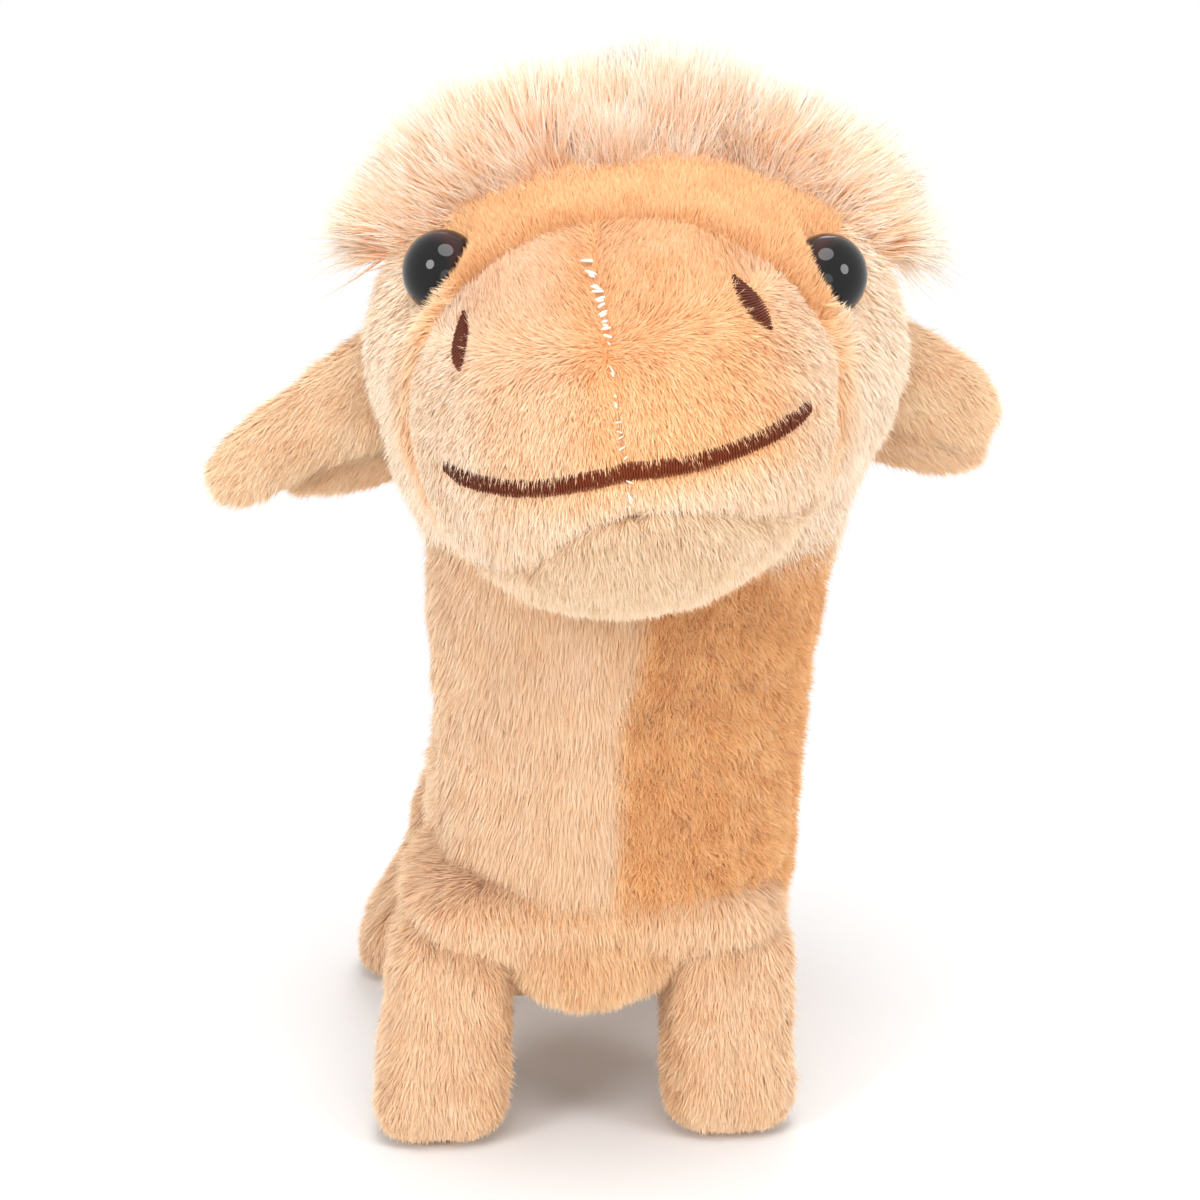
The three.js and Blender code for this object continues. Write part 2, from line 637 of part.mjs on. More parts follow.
function legFrame(side, hipY) {
  const lever = strap(hipY, hipHeight, hipY, hipHeight + leverArm, linkPinBoss,
    side * leverNear, side * leverFar)
    .add(rodX(hipBoss, side * leverNear, side * strutFar, hipY, hipHeight))
    .add(rodX(linkPinRadius, side * (leverNear + 0.5), side * linkPinTip,
      hipY, hipHeight + leverArm));
  const strut = box(side * strutNear, side * strutFar, hipY - strutHalfDepth, hipY + strutHalfDepth,
    strutBottom, hipHeight);
  const footPlate = box(side * footPlateNear, side * footPlateFar,
    hipY - footPlateHalfDepth, hipY + footPlateHalfDepth,
    strutBottom, strutBottom + footPlateThickness);
  return lever.add(strut).add(footPlate)
    .subtract(rodX(hipAxleRadius + running, -strutFar - 1, strutFar + 1, hipY, hipHeight));
}

function frameRoom(side, hipY) {
  const [near, far] = [side * (strutNear - seat), side * (strutFar + seat)];
  return box(near, far, hipY - strutHalfDepth - seat, hipY + strutHalfDepth + seat,
    plushBottom - 1, hipHeight)
    .add(rodX(hipBoss + seat, side * leverNear, far, hipY, hipHeight))
    .add(box(side * (footPlateNear - seat), side * (footPlateFar + seat),
      hipY - footPlateHalfDepth - seat, hipY + footPlateHalfDepth + seat,
      plushBottom - 1, strutBottom + footPlateThickness + seat));
}

function legPlush(side, hipY) {
  const x = side * legMiddle;
  const sections = [
    [plushBottom, soleRadius + 0.5, soleRadius + 0.5],
    [plushBottom + 2.5, footHalf - 1.2, footHalf - 0.8],
    [plushBottom + 8, footHalf - 0.2, footHalf],
    [0.42 * hipHeight, legHalfWidth, legHalfDepth + 0.4],
    [0.67 * hipHeight, legHalfWidth - 0.4, legHalfDepth - 0.2],
    [0.83 * hipHeight, legHalfWidth - 0.4, legHalfDepth - 0.2],
    [hipHeight, thighHalfWidth - 1, thighRadius - 1.2],
  ].map(([z, u, v]) => ({ middle: [x, hipY, z], half: [u, v] }));
  const rodRoom = box(0, side * (rodFar + 2 * running + 0.5), hipY - 40, hipY + 40,
    leverRoomTop, hipHeight + 40);
  return stuffed(sections, 'z', 16)
    .add(ball([x, hipY, hipHeight], [thighHalfWidth, thighRadius, thighRadius], 16, 10))
    .subtract(frameRoom(side, hipY)).subtract(rodRoom);
}

for (const [word, hipY] of [['front', frontHipY], ['hind', hindHipY]]) {
  for (const [hand, side] of [['left', 1], ['right', -1]]) {
    const sole = rodZ(soleRadius, 0, soleThickness, side * legMiddle, hipY, 20);
    toy.add(piece(`${hand}_${word}_leg_frame`, legFrame(side, hipY), paint.nylon));
    toy.add(piece(`${hand}_${word}_leg_plush`, legPlush(side, hipY), paint.pale));
    toy.add(piece(`${hand}_${word}_sole`, sole, paint.cream));
  }
}

// What the body's plush leaves free

function legRoomOnSide(hipY, side) {
  const wide = side * 2 * legMiddle;
  const low = 0.2 * hipHeight; // the body's plush ends well above this
  const thigh = thighRadius + running;
  const foot = footHalf + (hipHeight - low) * Math.tan(legSwing);
  const near = side * (rodFar + 2 * running + 0.2);
  const nearLow = side * (legMiddle - footHalf - running);
  return plateX([[hipY - thigh, hipHeight], [hipY - foot, low], [hipY + foot, low],
    [hipY + thigh, hipHeight]], nearLow, wide)
    .add(rodX(thigh, near, wide, hipY, hipHeight, 32));
}

function legRoom(hipY) {
  return legRoomOnSide(hipY, 1).add(legRoomOnSide(hipY, -1));
}

function mechanismRoom() {
  const hood = chassisHalfWidth + seat;
  const roomFront = chestFront + 5.7;
  return box(-cavityHalfWidth, cavityHalfWidth, roomFront, hoodEnd + 1,
    cavityFloor, shoulderTop)
    .add(box(-hood, hood, roomFront, hoodEnd + 1, cavityFloor, hoodRoof + seat))
    .add(box(-cavityHalfWidth, cavityHalfWidth, hoodEnd, chassisRear + 1,
      cavityFloor, chassisRoof + seat))
    .subtract(box(-cavityHalfWidth - 1, cavityHalfWidth + 1, chestFront, batteryFront - 12,
      cavityFloor - 1, deckBottom - seat))
    .subtract(box(-cavityHalfWidth - 1, cavityHalfWidth + 1, switchEnd + seat, chassisRear + 2,
      cavityFloor - 1, deckBottom - seat))
    .add(box(-batteryHalfWidth - seat, batteryHalfWidth + seat, doorFront - seat, switchEnd + seat,
      0, deckFloor + seat));
}

// Chest: the part between the front legs, with the dome that the neck sways on

const trunkNeckCut = neckBack + running;
const domeEnd = neckBack - 0.3;
const chestBlock = stuffed([
  [chestFront, 0.63, 0.82], [chestFront + 3, 0.93, 0.95], [chestFront + 12, 1, 1],
  [trunkStart - seat, 1, 1],
].map(([y, u, v]) => ({
  middle: [0, y, chestMiddleHeight],
  half: [u * chestHalfWidth, v * chestHalfHeight],
})), 'y', 24, 3);
const mastRoomHalf = domeRadius * Math.sin(neckSwing) + mastHalfWidth + 1;
const mastRoom = box(-mastRoomHalf, mastRoomHalf, mastFront - 1, mastFront + mastThickness + 1,
  neckPivotHeight, neckPivotHeight + domeRadius + 2);
const chest = chestBlock
  .add(rodY(domeRadius, chestFront, domeEnd, 0, neckPivotHeight, roundSides)
    .subtract(box(-domeRadius, domeRadius, trunkStart - seat, neckBack, 0, shoulderTop + seat)))
  .subtract(mechanismRoom()).subtract(legRoom(frontHipY)).subtract(mastRoom);
toy.add(piece('chest_plush', chest, paint.pale));

// Trunk, humps and tail

// Sections along the trunk: share of its length, and of its half width and height
const trunkForm = stuffed([
  [0, 0.9], [0.065, 0.96], [0.2, 1], [0.38, 1], [0.58, 1], [0.75, 0.98], [0.86, 0.86],
  [0.935, 0.68], [0.98, 0.45], [1, 0.18],
].map(([along, share]) => ({
  middle: [0, trunkStart + along * (trunkRear - trunkStart), trunkMiddleHeight],
  half: [share * trunkHalfWidth, share * trunkHalfHeight],
})), 'y', 28, 2.6);
const trunk = trunkForm
  .subtract(box(-trunkHalfWidth - 1, trunkHalfWidth + 1, 0, trunkNeckCut,
    shoulderTop, 2 * trunkMiddleHeight))
  .subtract(mechanismRoom()).subtract(legRoom(hindHipY)).subtract(legRoom(frontHipY));
toy.add(piece('trunk_plush', trunk, paint.pale));

function grown(form, by) {
  return form.map((value) => value + by);
}

const back = trunkMiddleHeight + trunkHalfHeight;
const trunkGrown = stuffed([neckBack, trunkRear].map((y) => ({
  middle: [0, y, trunkMiddleHeight],
  half: [trunkHalfWidth + seat, trunkHalfHeight + seat],
})), 'y', 28, 2.6);
for (const [name, y, size] of [['front_hump', frontHumpY, 1], ['rear_hump', rearHumpY, rearHumpSize]]) {
  const middle = [0, y, back - humpSink];
  const half = humpHalf.map((value) => value * size);
  const humpForm = ball(middle, half, 18, 12);
  toy.add(piece(name, humpForm.subtract(trunkGrown), paint.peach));
  const tuft = ball([0, y, back + humpTuftRise * size], humpTuftHalf.map((value) => value * size), 14, 8)
    .subtract(ball(middle, grown(half, seat), 18, 12));
  toy.add(piece(`${name}_tuft`, tuft, paint.pile));
}

const tailEnd = trunkMiddleHeight - 13.5;
const tailEndRadius = 0.82 * tailRadius;
const tailEndY = trunkRear + 7;
const tailForm = stuffed([
  [tailEndY, tailEnd, 0.82], [tailEndY - 2, tailEnd + 14, 0.93],
  [tailEndY - 6, tailEnd + 26, 1], [tailEndY - 15, tailEnd + 34, 0.83],
].map(([y, z, share]) => ({
  middle: [0, y, z], half: [share * tailRadius, share * tailRadius],
})), 'z', 12, 2);
toy.add(piece('tail', tailForm.subtract(trunkForm), paint.pale));
const tailTuft = ball([0, tailEndY + 0.5, tailEnd - 7], tailTuftHalf, 12, 8)
  .subtract(rodZ(tailEndRadius + seat, tailEnd - seat, tailEnd + 18, 0, tailEndY, 16));
toy.add(piece('tail_tuft', tailTuft, paint.pile));

// Neck, in its own frame at its pivot. The mast leans with it, and its shaft runs back
// to a fork round the tilted cam.

const fingerHalf = camHalfThickness + 2 * camRadius * Math.sin(neckSwing) + seat;
const forkTop = camRadius;
const forkPlateY = bulkheadY + bulkheadThickness + 1;
const mastRear = mastFront + mastThickness;
let mast = box(-mastHalfWidth, mastHalfWidth, mastFront, mastRear, -4, neckLength)
  .add(rodY(mastHalfWidth + 1, mastFront, mastRear, 0, neckLength, 20))
  .add(rodY(neckShaftRadius, mastFront, forkPlateY + forkThickness, 0, 0))
  .add(box(camX - fingerHalf - forkFinger, Math.max(2, camX + fingerHalf + forkFinger),
    forkPlateY, forkPlateY + forkThickness, -3, forkTop));
for (const side of [-1, 1]) {
  const inner = camX + side * fingerHalf;
  mast = mast.add(box(inner, inner + side * forkFinger, forkPlateY, crankY - 1,
    camGrip - 1.5, forkTop));
}
mast = mast.subtract(rodY(headPinRadius + 0.3, mastFront - 1, mastRear + 1, 0, neckLength));
neck.add(piece('neck_mast', mast, paint.nylon));

const headFrameFront = mastRear + 0.5;
const headPin = rodY(headPinRadius, mastFront - 1, headFrameFront + headFrameThickness + 1,
  0, neckLength)
  .add(rodY(headPinRadius + 1.6, mastFront - 2.2, mastFront - seat, 0, neckLength));
neck.add(piece('head_pivot_pin', headPin, paint.steel));

// Sections up the neck: share of its length, of its half width and of its half depth
const neckColumn = stuffed([
  [-0.02, 0.67, 0.97], [0.1, 0.73, 0.99], [0.24, 0.84, 1], [0.48, 0.97, 1], [0.72, 1.05, 1],
  [0.92, 1.004, 1], [1.18, 1, 0.99], [1.38, 1, 0.89], [1.5, 0.9, 0.71],
].map(([up, u, v]) => ({
  middle: [0, (neckFront + neckBack) / 2, up * neckLength],
  half: [u * neckHalfWidth, v * neckHalfDepth],
})), 'z', 28, 2.7);
const wide = 1.2 * neckLength; // past every side of the neck and the head
const domeRoom = domeRadius + running;
const skirtOutline = [[0, 0], [wide * Math.sin(skirtAngle), wide * Math.cos(skirtAngle)],
  [wide, 2 * wide], [-wide, 2 * wide], [-wide * Math.sin(skirtAngle), wide * Math.cos(skirtAngle)]];
const apronBack = chestFront - running;
const apron = neckColumn
  .intersect(box(-wide, wide, neckFront - 1, apronBack, 0.06 * neckLength, 0.6 * neckLength));
const headTurnHalf = (headSocket * Math.sin(neckSwing)) + mastHalfWidth + 2;
const neckPlush = neckColumn
  .intersect(plateY(skirtOutline, neckFront - 1, neckBack + 1))
  .intersect(box(-wide, wide, neckFront - 1, neckBack + 1, -10, neckLength)
    .add(rodY(headSocket - running, neckFront - 1, neckBack + 1, 0, neckLength, roundSides)))
  .subtract(rodY(outside(domeRoom), neckFront - 1, neckBack + 1, 0, 0, roundSides))
  .add(apron)
  .subtract(box(-mastHalfWidth - seat, mastHalfWidth + seat, mastFront - seat, mastRear + seat,
    -10, neckLength))
  .subtract(box(-headTurnHalf, headTurnHalf, mastFront - 2.6, headFrameFront + headFrameThickness + 1.6,
    neckLength - mastHalfWidth - 2, neckLength + headSocket + 10));
neck.add(piece('neck_plush', neckPlush, paint.pale));

// Head, in its own frame at its pivot

const headFrame = box(-mastHalfWidth, mastHalfWidth, headFrameFront,
  headFrameFront + headFrameThickness, 0, framePlateTop)
  .add(rodY(mastHalfWidth, headFrameFront, headFrameFront + headFrameThickness, 0, 0, 20))
  .add(box(-headBarHalf, headBarHalf, headFrameFront, headFrameFront + headFrameThickness,
    framePlateTop - headBarHeight, framePlateTop))
  .subtract(rodY(headPinRadius + running, headFrameFront - 1, headFrameFront + 5, 0, 0));
head.add(piece('head_frame', headFrame, paint.nylon));

const skullForm = ball(skull.middle, skull.half, 24, 14);
const skullRoom = ball(skull.middle, grown(skull.half, seat), 24, 14);
const neckRoom = rodY(outside(headSocket), neckFront - running, neckBack + running, 0, 0, roundSides)
  .add(box(-wide, wide, neckFront - running, neckBack + running, -headSocket, headRim));
const snoutFrame = new THREE.Matrix4().makeTranslation(...snout.middle)
  .multiply(new THREE.Matrix4().makeRotationY(snoutTwist))
  .multiply(new THREE.Matrix4().makeRotationZ(snoutTurn));
const snoutForm = ball([0, 0, 0], snout.half, 22, 12, snoutFrame);

function eyeForms(spot, extra) {
  const [x, y, z] = spot;
  const inward = new THREE.Vector3(skull.middle[0] - x, skull.middle[1] - y, skull.middle[2] - z);
  inward.normalize();
  const turn = new THREE.Quaternion().setFromUnitVectors(new THREE.Vector3(0, 1, 0), inward);
  const stem = new THREE.CylinderGeometry(eyeStemRadius + extra, eyeStemRadius + extra,
    eyeStemLength + extra, 8);
  stem.translate(0, (eyeStemLength + extra) / 2, 0).applyQuaternion(turn).translate(x, y, z);
  return ball(spot, [eyeRadius + extra, eyeRadius + extra, eyeRadius + extra], 14, 8)
    .add(solid(stem));
}

let headPlush = skullForm.subtract(neckRoom);
headPlush = headPlush
  .subtract(box(-mastHalfWidth - seat, mastHalfWidth + seat, headFrameFront - seat,
    headFrameFront + headFrameThickness + seat, 0, framePlateTop + seat))
  .subtract(box(-headBarHalf - seat, headBarHalf + seat, headFrameFront - seat,
    headFrameFront + headFrameThickness + seat,
    framePlateTop - headBarHeight - seat, framePlateTop + seat));
for (const spot of Object.values(eyeSpots)) headPlush = headPlush.subtract(eyeForms(spot, seat));
head.add(piece('head_plush', headPlush, paint.pale));

const chinLine = -chinSeamBelow;
const aboveChin = new THREE.BoxGeometry(wide, wide, wide)
  .translate(0, 0, chinLine + seat / 2 + wide / 2).applyMatrix4(snoutFrame);
const belowChin = new THREE.BoxGeometry(wide, wide, wide)
  .translate(0, 0, chinLine - seat / 2 - wide / 2).applyMatrix4(snoutFrame);
let snoutBody = snoutForm.subtract(skullRoom).subtract(neckRoom);
for (const spot of Object.values(eyeSpots)) snoutBody = snoutBody.subtract(eyeForms(spot, seat));
head.add(piece('muzzle', snoutBody.intersect(solid(aboveChin)), paint.peach));
head.add(piece('chin_panel', snoutBody.intersect(solid(belowChin)), paint.cream));

for (const [hand, spot] of Object.entries(eyeSpots)) {
  head.add(piece(`${hand}_eye`, eyeForms(spot, 0), paint.eye));
}

// Ears droop outwards and down. Each is a leaf that narrows to its tip: shares of its
// length, of its half width and of its half thickness.
const earLeaf = [[-0.28, 0.7, 0.9], [0, 0.86, 0.96], [0.3, 1, 1], [0.6, 0.82, 0.9],
  [0.85, 0.5, 0.68], [1, 0.16, 0.28]];
function ear({ root, tip }) {
  const from = new THREE.Vector3(...root);
  const along = new THREE.Vector3(...tip).sub(from);
  const leaf = earLeaf.map(([share, broad, thick]) => ({
    middle: [0, 0, share * along.length()],
    half: [thick * earHalfThickness, broad * earHalfWidth],
  }));
  const zAxis = along.clone().normalize();
  const thickAxis = new THREE.Vector3(0, -1, 0).cross(zAxis).cross(zAxis).normalize();
  const broadAxis = new THREE.Vector3().crossVectors(zAxis, thickAxis).normalize();
  const turn = new THREE.Matrix4().makeBasis(thickAxis, broadAxis, zAxis).setPosition(from);
  return stuffed(leaf, 'z', 16, 2, turn);
}
for (const [hand, places] of Object.entries(earPlaces)) {
  head.add(piece(`${hand}_ear`, ear(places).subtract(skullRoom), paint.pale));
}

const maneForm = ball(maneMiddle, maneHalf, 22, 14)
  .subtract(box(-wide, wide, -wide, wide, -wide, maneHem))
  .subtract(skullRoom);
head.add(piece('mane', maneForm, paint.pile));

// The model's origin is on the floor below the middle of its outline
const outline = new THREE.Box3().setFromObject(toy, true).getCenter(new THREE.Vector3());
toy.position.set(-outline.x, -outline.y, 0);

export default toy;
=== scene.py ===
# %% [markdown]
# # A plush camel that walks
#
# This lesson dresses the imported model of a stuffed camel. The model gives every
# length and every joint. Here each sewn part gets its padded skin, its pile and its
# stitches, and each hard part gets its finish. The frame comes first. The dressed
# camel must stay inside it.

# %% The frame
import json
import math

import bmesh
import bpy
import numpy as np
from mathutils import Matrix, Vector, noise
from mathutils.bvhtree import BVHTree


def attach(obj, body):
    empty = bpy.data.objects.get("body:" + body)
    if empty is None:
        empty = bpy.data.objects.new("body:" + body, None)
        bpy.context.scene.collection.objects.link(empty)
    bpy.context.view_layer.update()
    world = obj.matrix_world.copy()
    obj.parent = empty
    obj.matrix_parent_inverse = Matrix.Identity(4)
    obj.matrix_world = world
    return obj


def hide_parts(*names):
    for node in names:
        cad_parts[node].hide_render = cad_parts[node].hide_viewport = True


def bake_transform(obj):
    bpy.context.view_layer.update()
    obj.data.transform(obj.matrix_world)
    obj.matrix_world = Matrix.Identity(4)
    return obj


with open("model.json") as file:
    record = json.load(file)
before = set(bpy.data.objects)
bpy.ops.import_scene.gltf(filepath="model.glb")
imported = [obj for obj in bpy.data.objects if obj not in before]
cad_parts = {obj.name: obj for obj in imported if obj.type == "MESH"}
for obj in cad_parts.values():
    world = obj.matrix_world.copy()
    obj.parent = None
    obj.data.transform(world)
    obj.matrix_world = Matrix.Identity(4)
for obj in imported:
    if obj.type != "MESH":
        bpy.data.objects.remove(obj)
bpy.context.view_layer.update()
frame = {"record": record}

# %% [markdown]
# ## Two places to measure from
#
# A toymaker measures a head from its neck joint. All shapes below are written in
# millimetres, either from the floor under the camel or from the joint inside the
# head, and are turned into the frame's metres at the end.

# %% Millimetres, the toy's midline and the two neck joints
MM = 0.001
MIDLINE = Vector((-6.362, -20.821, 0.0))
NECK_JOINT = Vector((-6.362, -20.821, 62.0))
HEAD_JOINT = Vector((4.958, -20.821, 161.357))
NECK_LEAN = math.radians(6.5)

FLOOR_FRAME = Matrix.Translation(MIDLINE)
NECK_FRAME = Matrix.Translation(NECK_JOINT) @ Matrix.Rotation(NECK_LEAN, 4, "Y")
HEAD_FRAME = Matrix.Translation(HEAD_JOINT)
SNOUT_MIDDLE = Vector((-7.0, -52.0, 32.0))
SNOUT_HALF = Vector((47.0, 52.0, 42.0))
SNOUT_FRAME = (HEAD_FRAME @ Matrix.Translation(SNOUT_MIDDLE)
               @ Matrix.Rotation(math.radians(-9.5), 4, "Y")
               @ Matrix.Rotation(math.radians(-5.0), 4, "Z"))
print("the head's joint stands", HEAD_JOINT.z, "mm above the floor")

# %% [markdown]
# ## Camera, light and floor
#
# The camera looks from the front and a little from above, as one would look at a toy
# on a table. Big soft lamps on both sides, above, low in front and behind, with a pale
# world, keep the shadows faint from every side.

# %% Camera
camera = bpy.data.objects.new("camera", bpy.data.cameras.new("camera"))
bpy.context.scene.collection.objects.link(camera)
bpy.context.scene.camera = camera
camera.data.lens = 67.8
camera.data.sensor_width = 36.0
camera.data.clip_start = 0.01
camera.data.clip_end = 20.0
camera.location = Vector((-43.06, -581.02, 271.2)) * MM
target = Vector((-6.36, -56.82, 147.0)) * MM
camera.rotation_euler = (target - camera.location).to_track_quat("-Z", "Y").to_euler()

bpy.context.scene.view_settings.view_transform = "Standard"


# %% Soft lamps
def lamp(name, place, aim, width, power):
    data = bpy.data.lights.new(name, "AREA")
    data.shape, data.size, data.energy = "DISK", width, power
    obj = bpy.data.objects.new(name, data)
    bpy.context.scene.collection.objects.link(obj)
    obj.location = place
    obj.rotation_euler = (Vector(aim) - Vector(place)).to_track_quat("-Z", "Y").to_euler()


lamp("left_softbox", (-0.75, -0.75, 0.62), (0, -0.03, 0.14), width=0.42, power=4.6)
lamp("right_softbox", (0.80, -0.70, 0.55), (0, -0.03, 0.14), width=0.42, power=3.8)
lamp("top_softbox", (0.0, -0.42, 1.02), (0, -0.02, 0.14), width=0.60, power=4.9)
lamp("low_fill", (0.0, -1.1, 0.12), (0, 0, 0.10), width=0.60, power=1.7)
lamp("back_softbox", (0.1, 0.85, 0.85), (0, 0, 0.15), width=0.60, power=4.0)


# %% Node helpers
def material(name):
    mat = bpy.data.materials.new(name)
    mat.use_nodes = True
    return mat, mat.node_tree.nodes, mat.node_tree.links


def math_pair(nodes, links, a, b):
    """1 where either of two rays' flags is 1"""
    made = nodes.new("ShaderNodeMath")
    made.operation = "MAXIMUM"
    links.new(a, made.inputs[0])
    links.new(b, made.inputs[1])
    return made.outputs[0]


# %% World and floor
world = bpy.data.worlds.new("studio")
bpy.context.scene.world = world
world.use_nodes = True
w_nodes, w_links = world.node_tree.nodes, world.node_tree.links
w_nodes.clear()
w_out = w_nodes.new("ShaderNodeOutputWorld")
w_mix = w_nodes.new("ShaderNodeMixShader")
w_light = w_nodes.new("ShaderNodeBackground")
w_white = w_nodes.new("ShaderNodeBackground")
w_light.inputs["Color"].default_value = (0.98, 0.98, 1.0, 1)
w_light.inputs["Strength"].default_value = 0.6
w_white.inputs["Color"].default_value = (1, 1, 1, 1)
w_white.inputs["Strength"].default_value = 1.0
w_path = w_nodes.new("ShaderNodeLightPath")
w_any = math_pair(w_nodes, w_links, w_path.outputs["Is Camera Ray"], w_path.outputs["Is Glossy Ray"])
w_any = math_pair(w_nodes, w_links, w_any, w_path.outputs["Is Transmission Ray"])
w_links.new(w_any, w_mix.inputs["Fac"])
w_links.new(w_light.outputs[0], w_mix.inputs[1])
w_links.new(w_white.outputs[0], w_mix.inputs[2])
w_links.new(w_mix.outputs[0], w_out.inputs["Surface"])

# %% Floor paper: it keeps the shadow close by, and further off the camera sees plain white
floor_paper, f_nodes, f_links = material("floor_paper")
f_shader = f_nodes["Principled BSDF"]
f_shader.inputs["Base Color"].default_value = (0.93, 0.925, 0.915, 1)
f_shader.inputs["Roughness"].default_value = 0.9
f_place = f_nodes.new("ShaderNodeTexCoord")
f_far = f_nodes.new("ShaderNodeVectorMath")
f_far.operation = "LENGTH"
f_fade = f_nodes.new("ShaderNodeMapRange")
f_fade.interpolation_type = "SMOOTHSTEP"
f_fade.inputs["From Min"].default_value = 0.13
f_fade.inputs["From Max"].default_value = 0.34
f_seen = f_nodes.new("ShaderNodeMath")
f_seen.operation = "MULTIPLY"
f_path = f_nodes.new("ShaderNodeLightPath")
f_glow = f_nodes.new("ShaderNodeEmission")
f_glow.inputs["Color"].default_value = (1, 1, 1, 1)
f_mix = f_nodes.new("ShaderNodeMixShader")
f_links.new(f_place.outputs["Object"], f_far.inputs[0])
f_links.new(f_far.outputs["Value"], f_fade.inputs["Value"])
f_links.new(f_fade.outputs["Result"], f_seen.inputs[0])
f_any = math_pair(f_nodes, f_links, f_path.outputs["Is Camera Ray"], f_path.outputs["Is Glossy Ray"])
f_any = math_pair(f_nodes, f_links, f_any, f_path.outputs["Is Transmission Ray"])
f_links.new(f_any, f_seen.inputs[1])
f_links.new(f_seen.outputs[0], f_mix.inputs["Fac"])
f_links.new(f_shader.outputs[0], f_mix.inputs[1])
f_links.new(f_glow.outputs[0], f_mix.inputs[2])
f_links.new(f_mix.outputs[0], f_nodes["Material Output"].inputs["Surface"])
bm = bmesh.new()
bmesh.ops.create_grid(bm, x_segments=2, y_segments=2, size=3.0)
floor_mesh = bpy.data.meshes.new("floor")
bm.to_mesh(floor_mesh)
bm.free()
floor = bpy.data.objects.new("floor", floor_mesh)
floor.data.materials.append(floor_paper)
bpy.context.scene.collection.objects.link(floor)
print("camera, lamps, world and floor are in place")

# %% [markdown]
# ## From a form to a piece
#
# Every padded part starts as one of two forms: an egg, or a column with a table of
# sections. The column is a circle that is extruded ring by ring and then shaped. A
# table is the plainest way to give a sewn tube the widths that were measured on it.
# Each form is built in its own millimetre frame and moved into place at the end, so
# the finished object itself sits at the origin.


# %% Forms: an egg and a column
def egg(half, fineness):
    bm = bmesh.new()
    bmesh.ops.create_icosphere(bm, subdivisions=fineness, radius=1.0)
    bmesh.ops.scale(bm, vec=half, verts=bm.verts)
    return bm


def column(sections, sides, squareness, axis="Z"):
    """sections: (height, middle across, middle deep, half across, half deep)"""
    bm = bmesh.new()
    bmesh.ops.create_circle(bm, segments=sides, radius=1.0)
    edges = list(bm.edges)
    for _ in sections[1:]:
        grown = bmesh.ops.extrude_edge_only(bm, edges=edges)["geom"]
        ring = [g for g in grown if isinstance(g, bmesh.types.BMVert)]
        bmesh.ops.translate(bm, vec=(0, 0, 1), verts=ring)
        edges = [g for g in grown if isinstance(g, bmesh.types.BMEdge)
                 and all(v in ring for v in g.verts)]
    caps = bmesh.ops.holes_fill(bm, edges=bm.edges, sides=sides)["faces"]
    bmesh.ops.poke(bm, faces=caps)
    bmesh.ops.recalc_face_normals(bm, faces=bm.faces)
    for v in bm.verts:
        height, mid_u, mid_v, half_u, half_v = sections[round(v.co.z)]
        c, s = v.co.x, v.co.y
        reach = 1.0 if math.hypot(c, s) > 0.5 else 0.0
        u = mid_u + reach * half_u * math.copysign(abs(c) ** (2 / squareness), c)
        w = mid_v + reach * half_v * math.copysign(abs(s) ** (2 / squareness), s)
        v.co = (u, w, height) if axis == "Z" else (u, height, w)
    if bm.calc_volume(signed=True) < 0:
        bmesh.ops.reverse_faces(bm, faces=bm.faces)
    return bm


# %% From a mesh in millimetres to a piece on a body
def settle(obj):
    """applies the piece's modifiers to its mesh"""
    bpy.context.view_layer.update()
    done = obj.evaluated_get(bpy.context.evaluated_depsgraph_get())
    mesh = bpy.data.meshes.new_from_object(done)
    obj.modifiers.clear()
    old, obj.data = obj.data, mesh
    mesh.name = obj.name
    bpy.data.meshes.remove(old)
    return obj


STUFFING_SHOTS = 20
STUFFING_PRESSURE = 4.0


def stuff(obj, swell, held=None):
    """blows the skin up as stuffing does, by at most swell millimetres; held keeps a seam"""
    mesh = obj.data
    start = np.zeros(len(mesh.vertices) * 3, np.float32)
    mesh.vertices.foreach_get("co", start)
    start = start.reshape(-1, 3)
    seam = obj.vertex_groups.new(name="seam")
    for v in mesh.vertices:
        seam.add([v.index], 1.0 if held and held(v.co / MM) else 0.0, "REPLACE")
    cloth = obj.modifiers.new("stuffing", "CLOTH")
    cloth.settings.quality = 4
    cloth.settings.mass = 0.15
    cloth.settings.vertex_group_mass = "seam"
    cloth.settings.use_pressure = True
    cloth.settings.uniform_pressure_force = STUFFING_PRESSURE
    cloth.settings.effector_weights.gravity = 0
    cloth.collision_settings.use_collision = False
    cloth.point_cache.frame_start, cloth.point_cache.frame_end = 1, STUFFING_SHOTS
    for shot in range(1, STUFFING_SHOTS + 1):
        bpy.context.scene.frame_set(shot)
    done = obj.evaluated_get(bpy.context.evaluated_depsgraph_get())
    end = np.zeros(len(done.data.vertices) * 3, np.float32)
    done.data.vertices.foreach_get("co", end)
    end = end.reshape(-1, 3)
    obj.modifiers.remove(cloth)
    obj.vertex_groups.clear()
    bpy.context.scene.frame_set(1)
    moved = end - start
    far = np.linalg.norm(moved, axis=1, keepdims=True)
    moved *= np.minimum(1.0, swell * MM / np.maximum(far, 1e-9))
    mesh.vertices.foreach_set("co", (start + moved).ravel())
    mesh.update()
    print(obj.name, "swells by %.1f mm at most" % float(min(far.max() / MM, swell)))


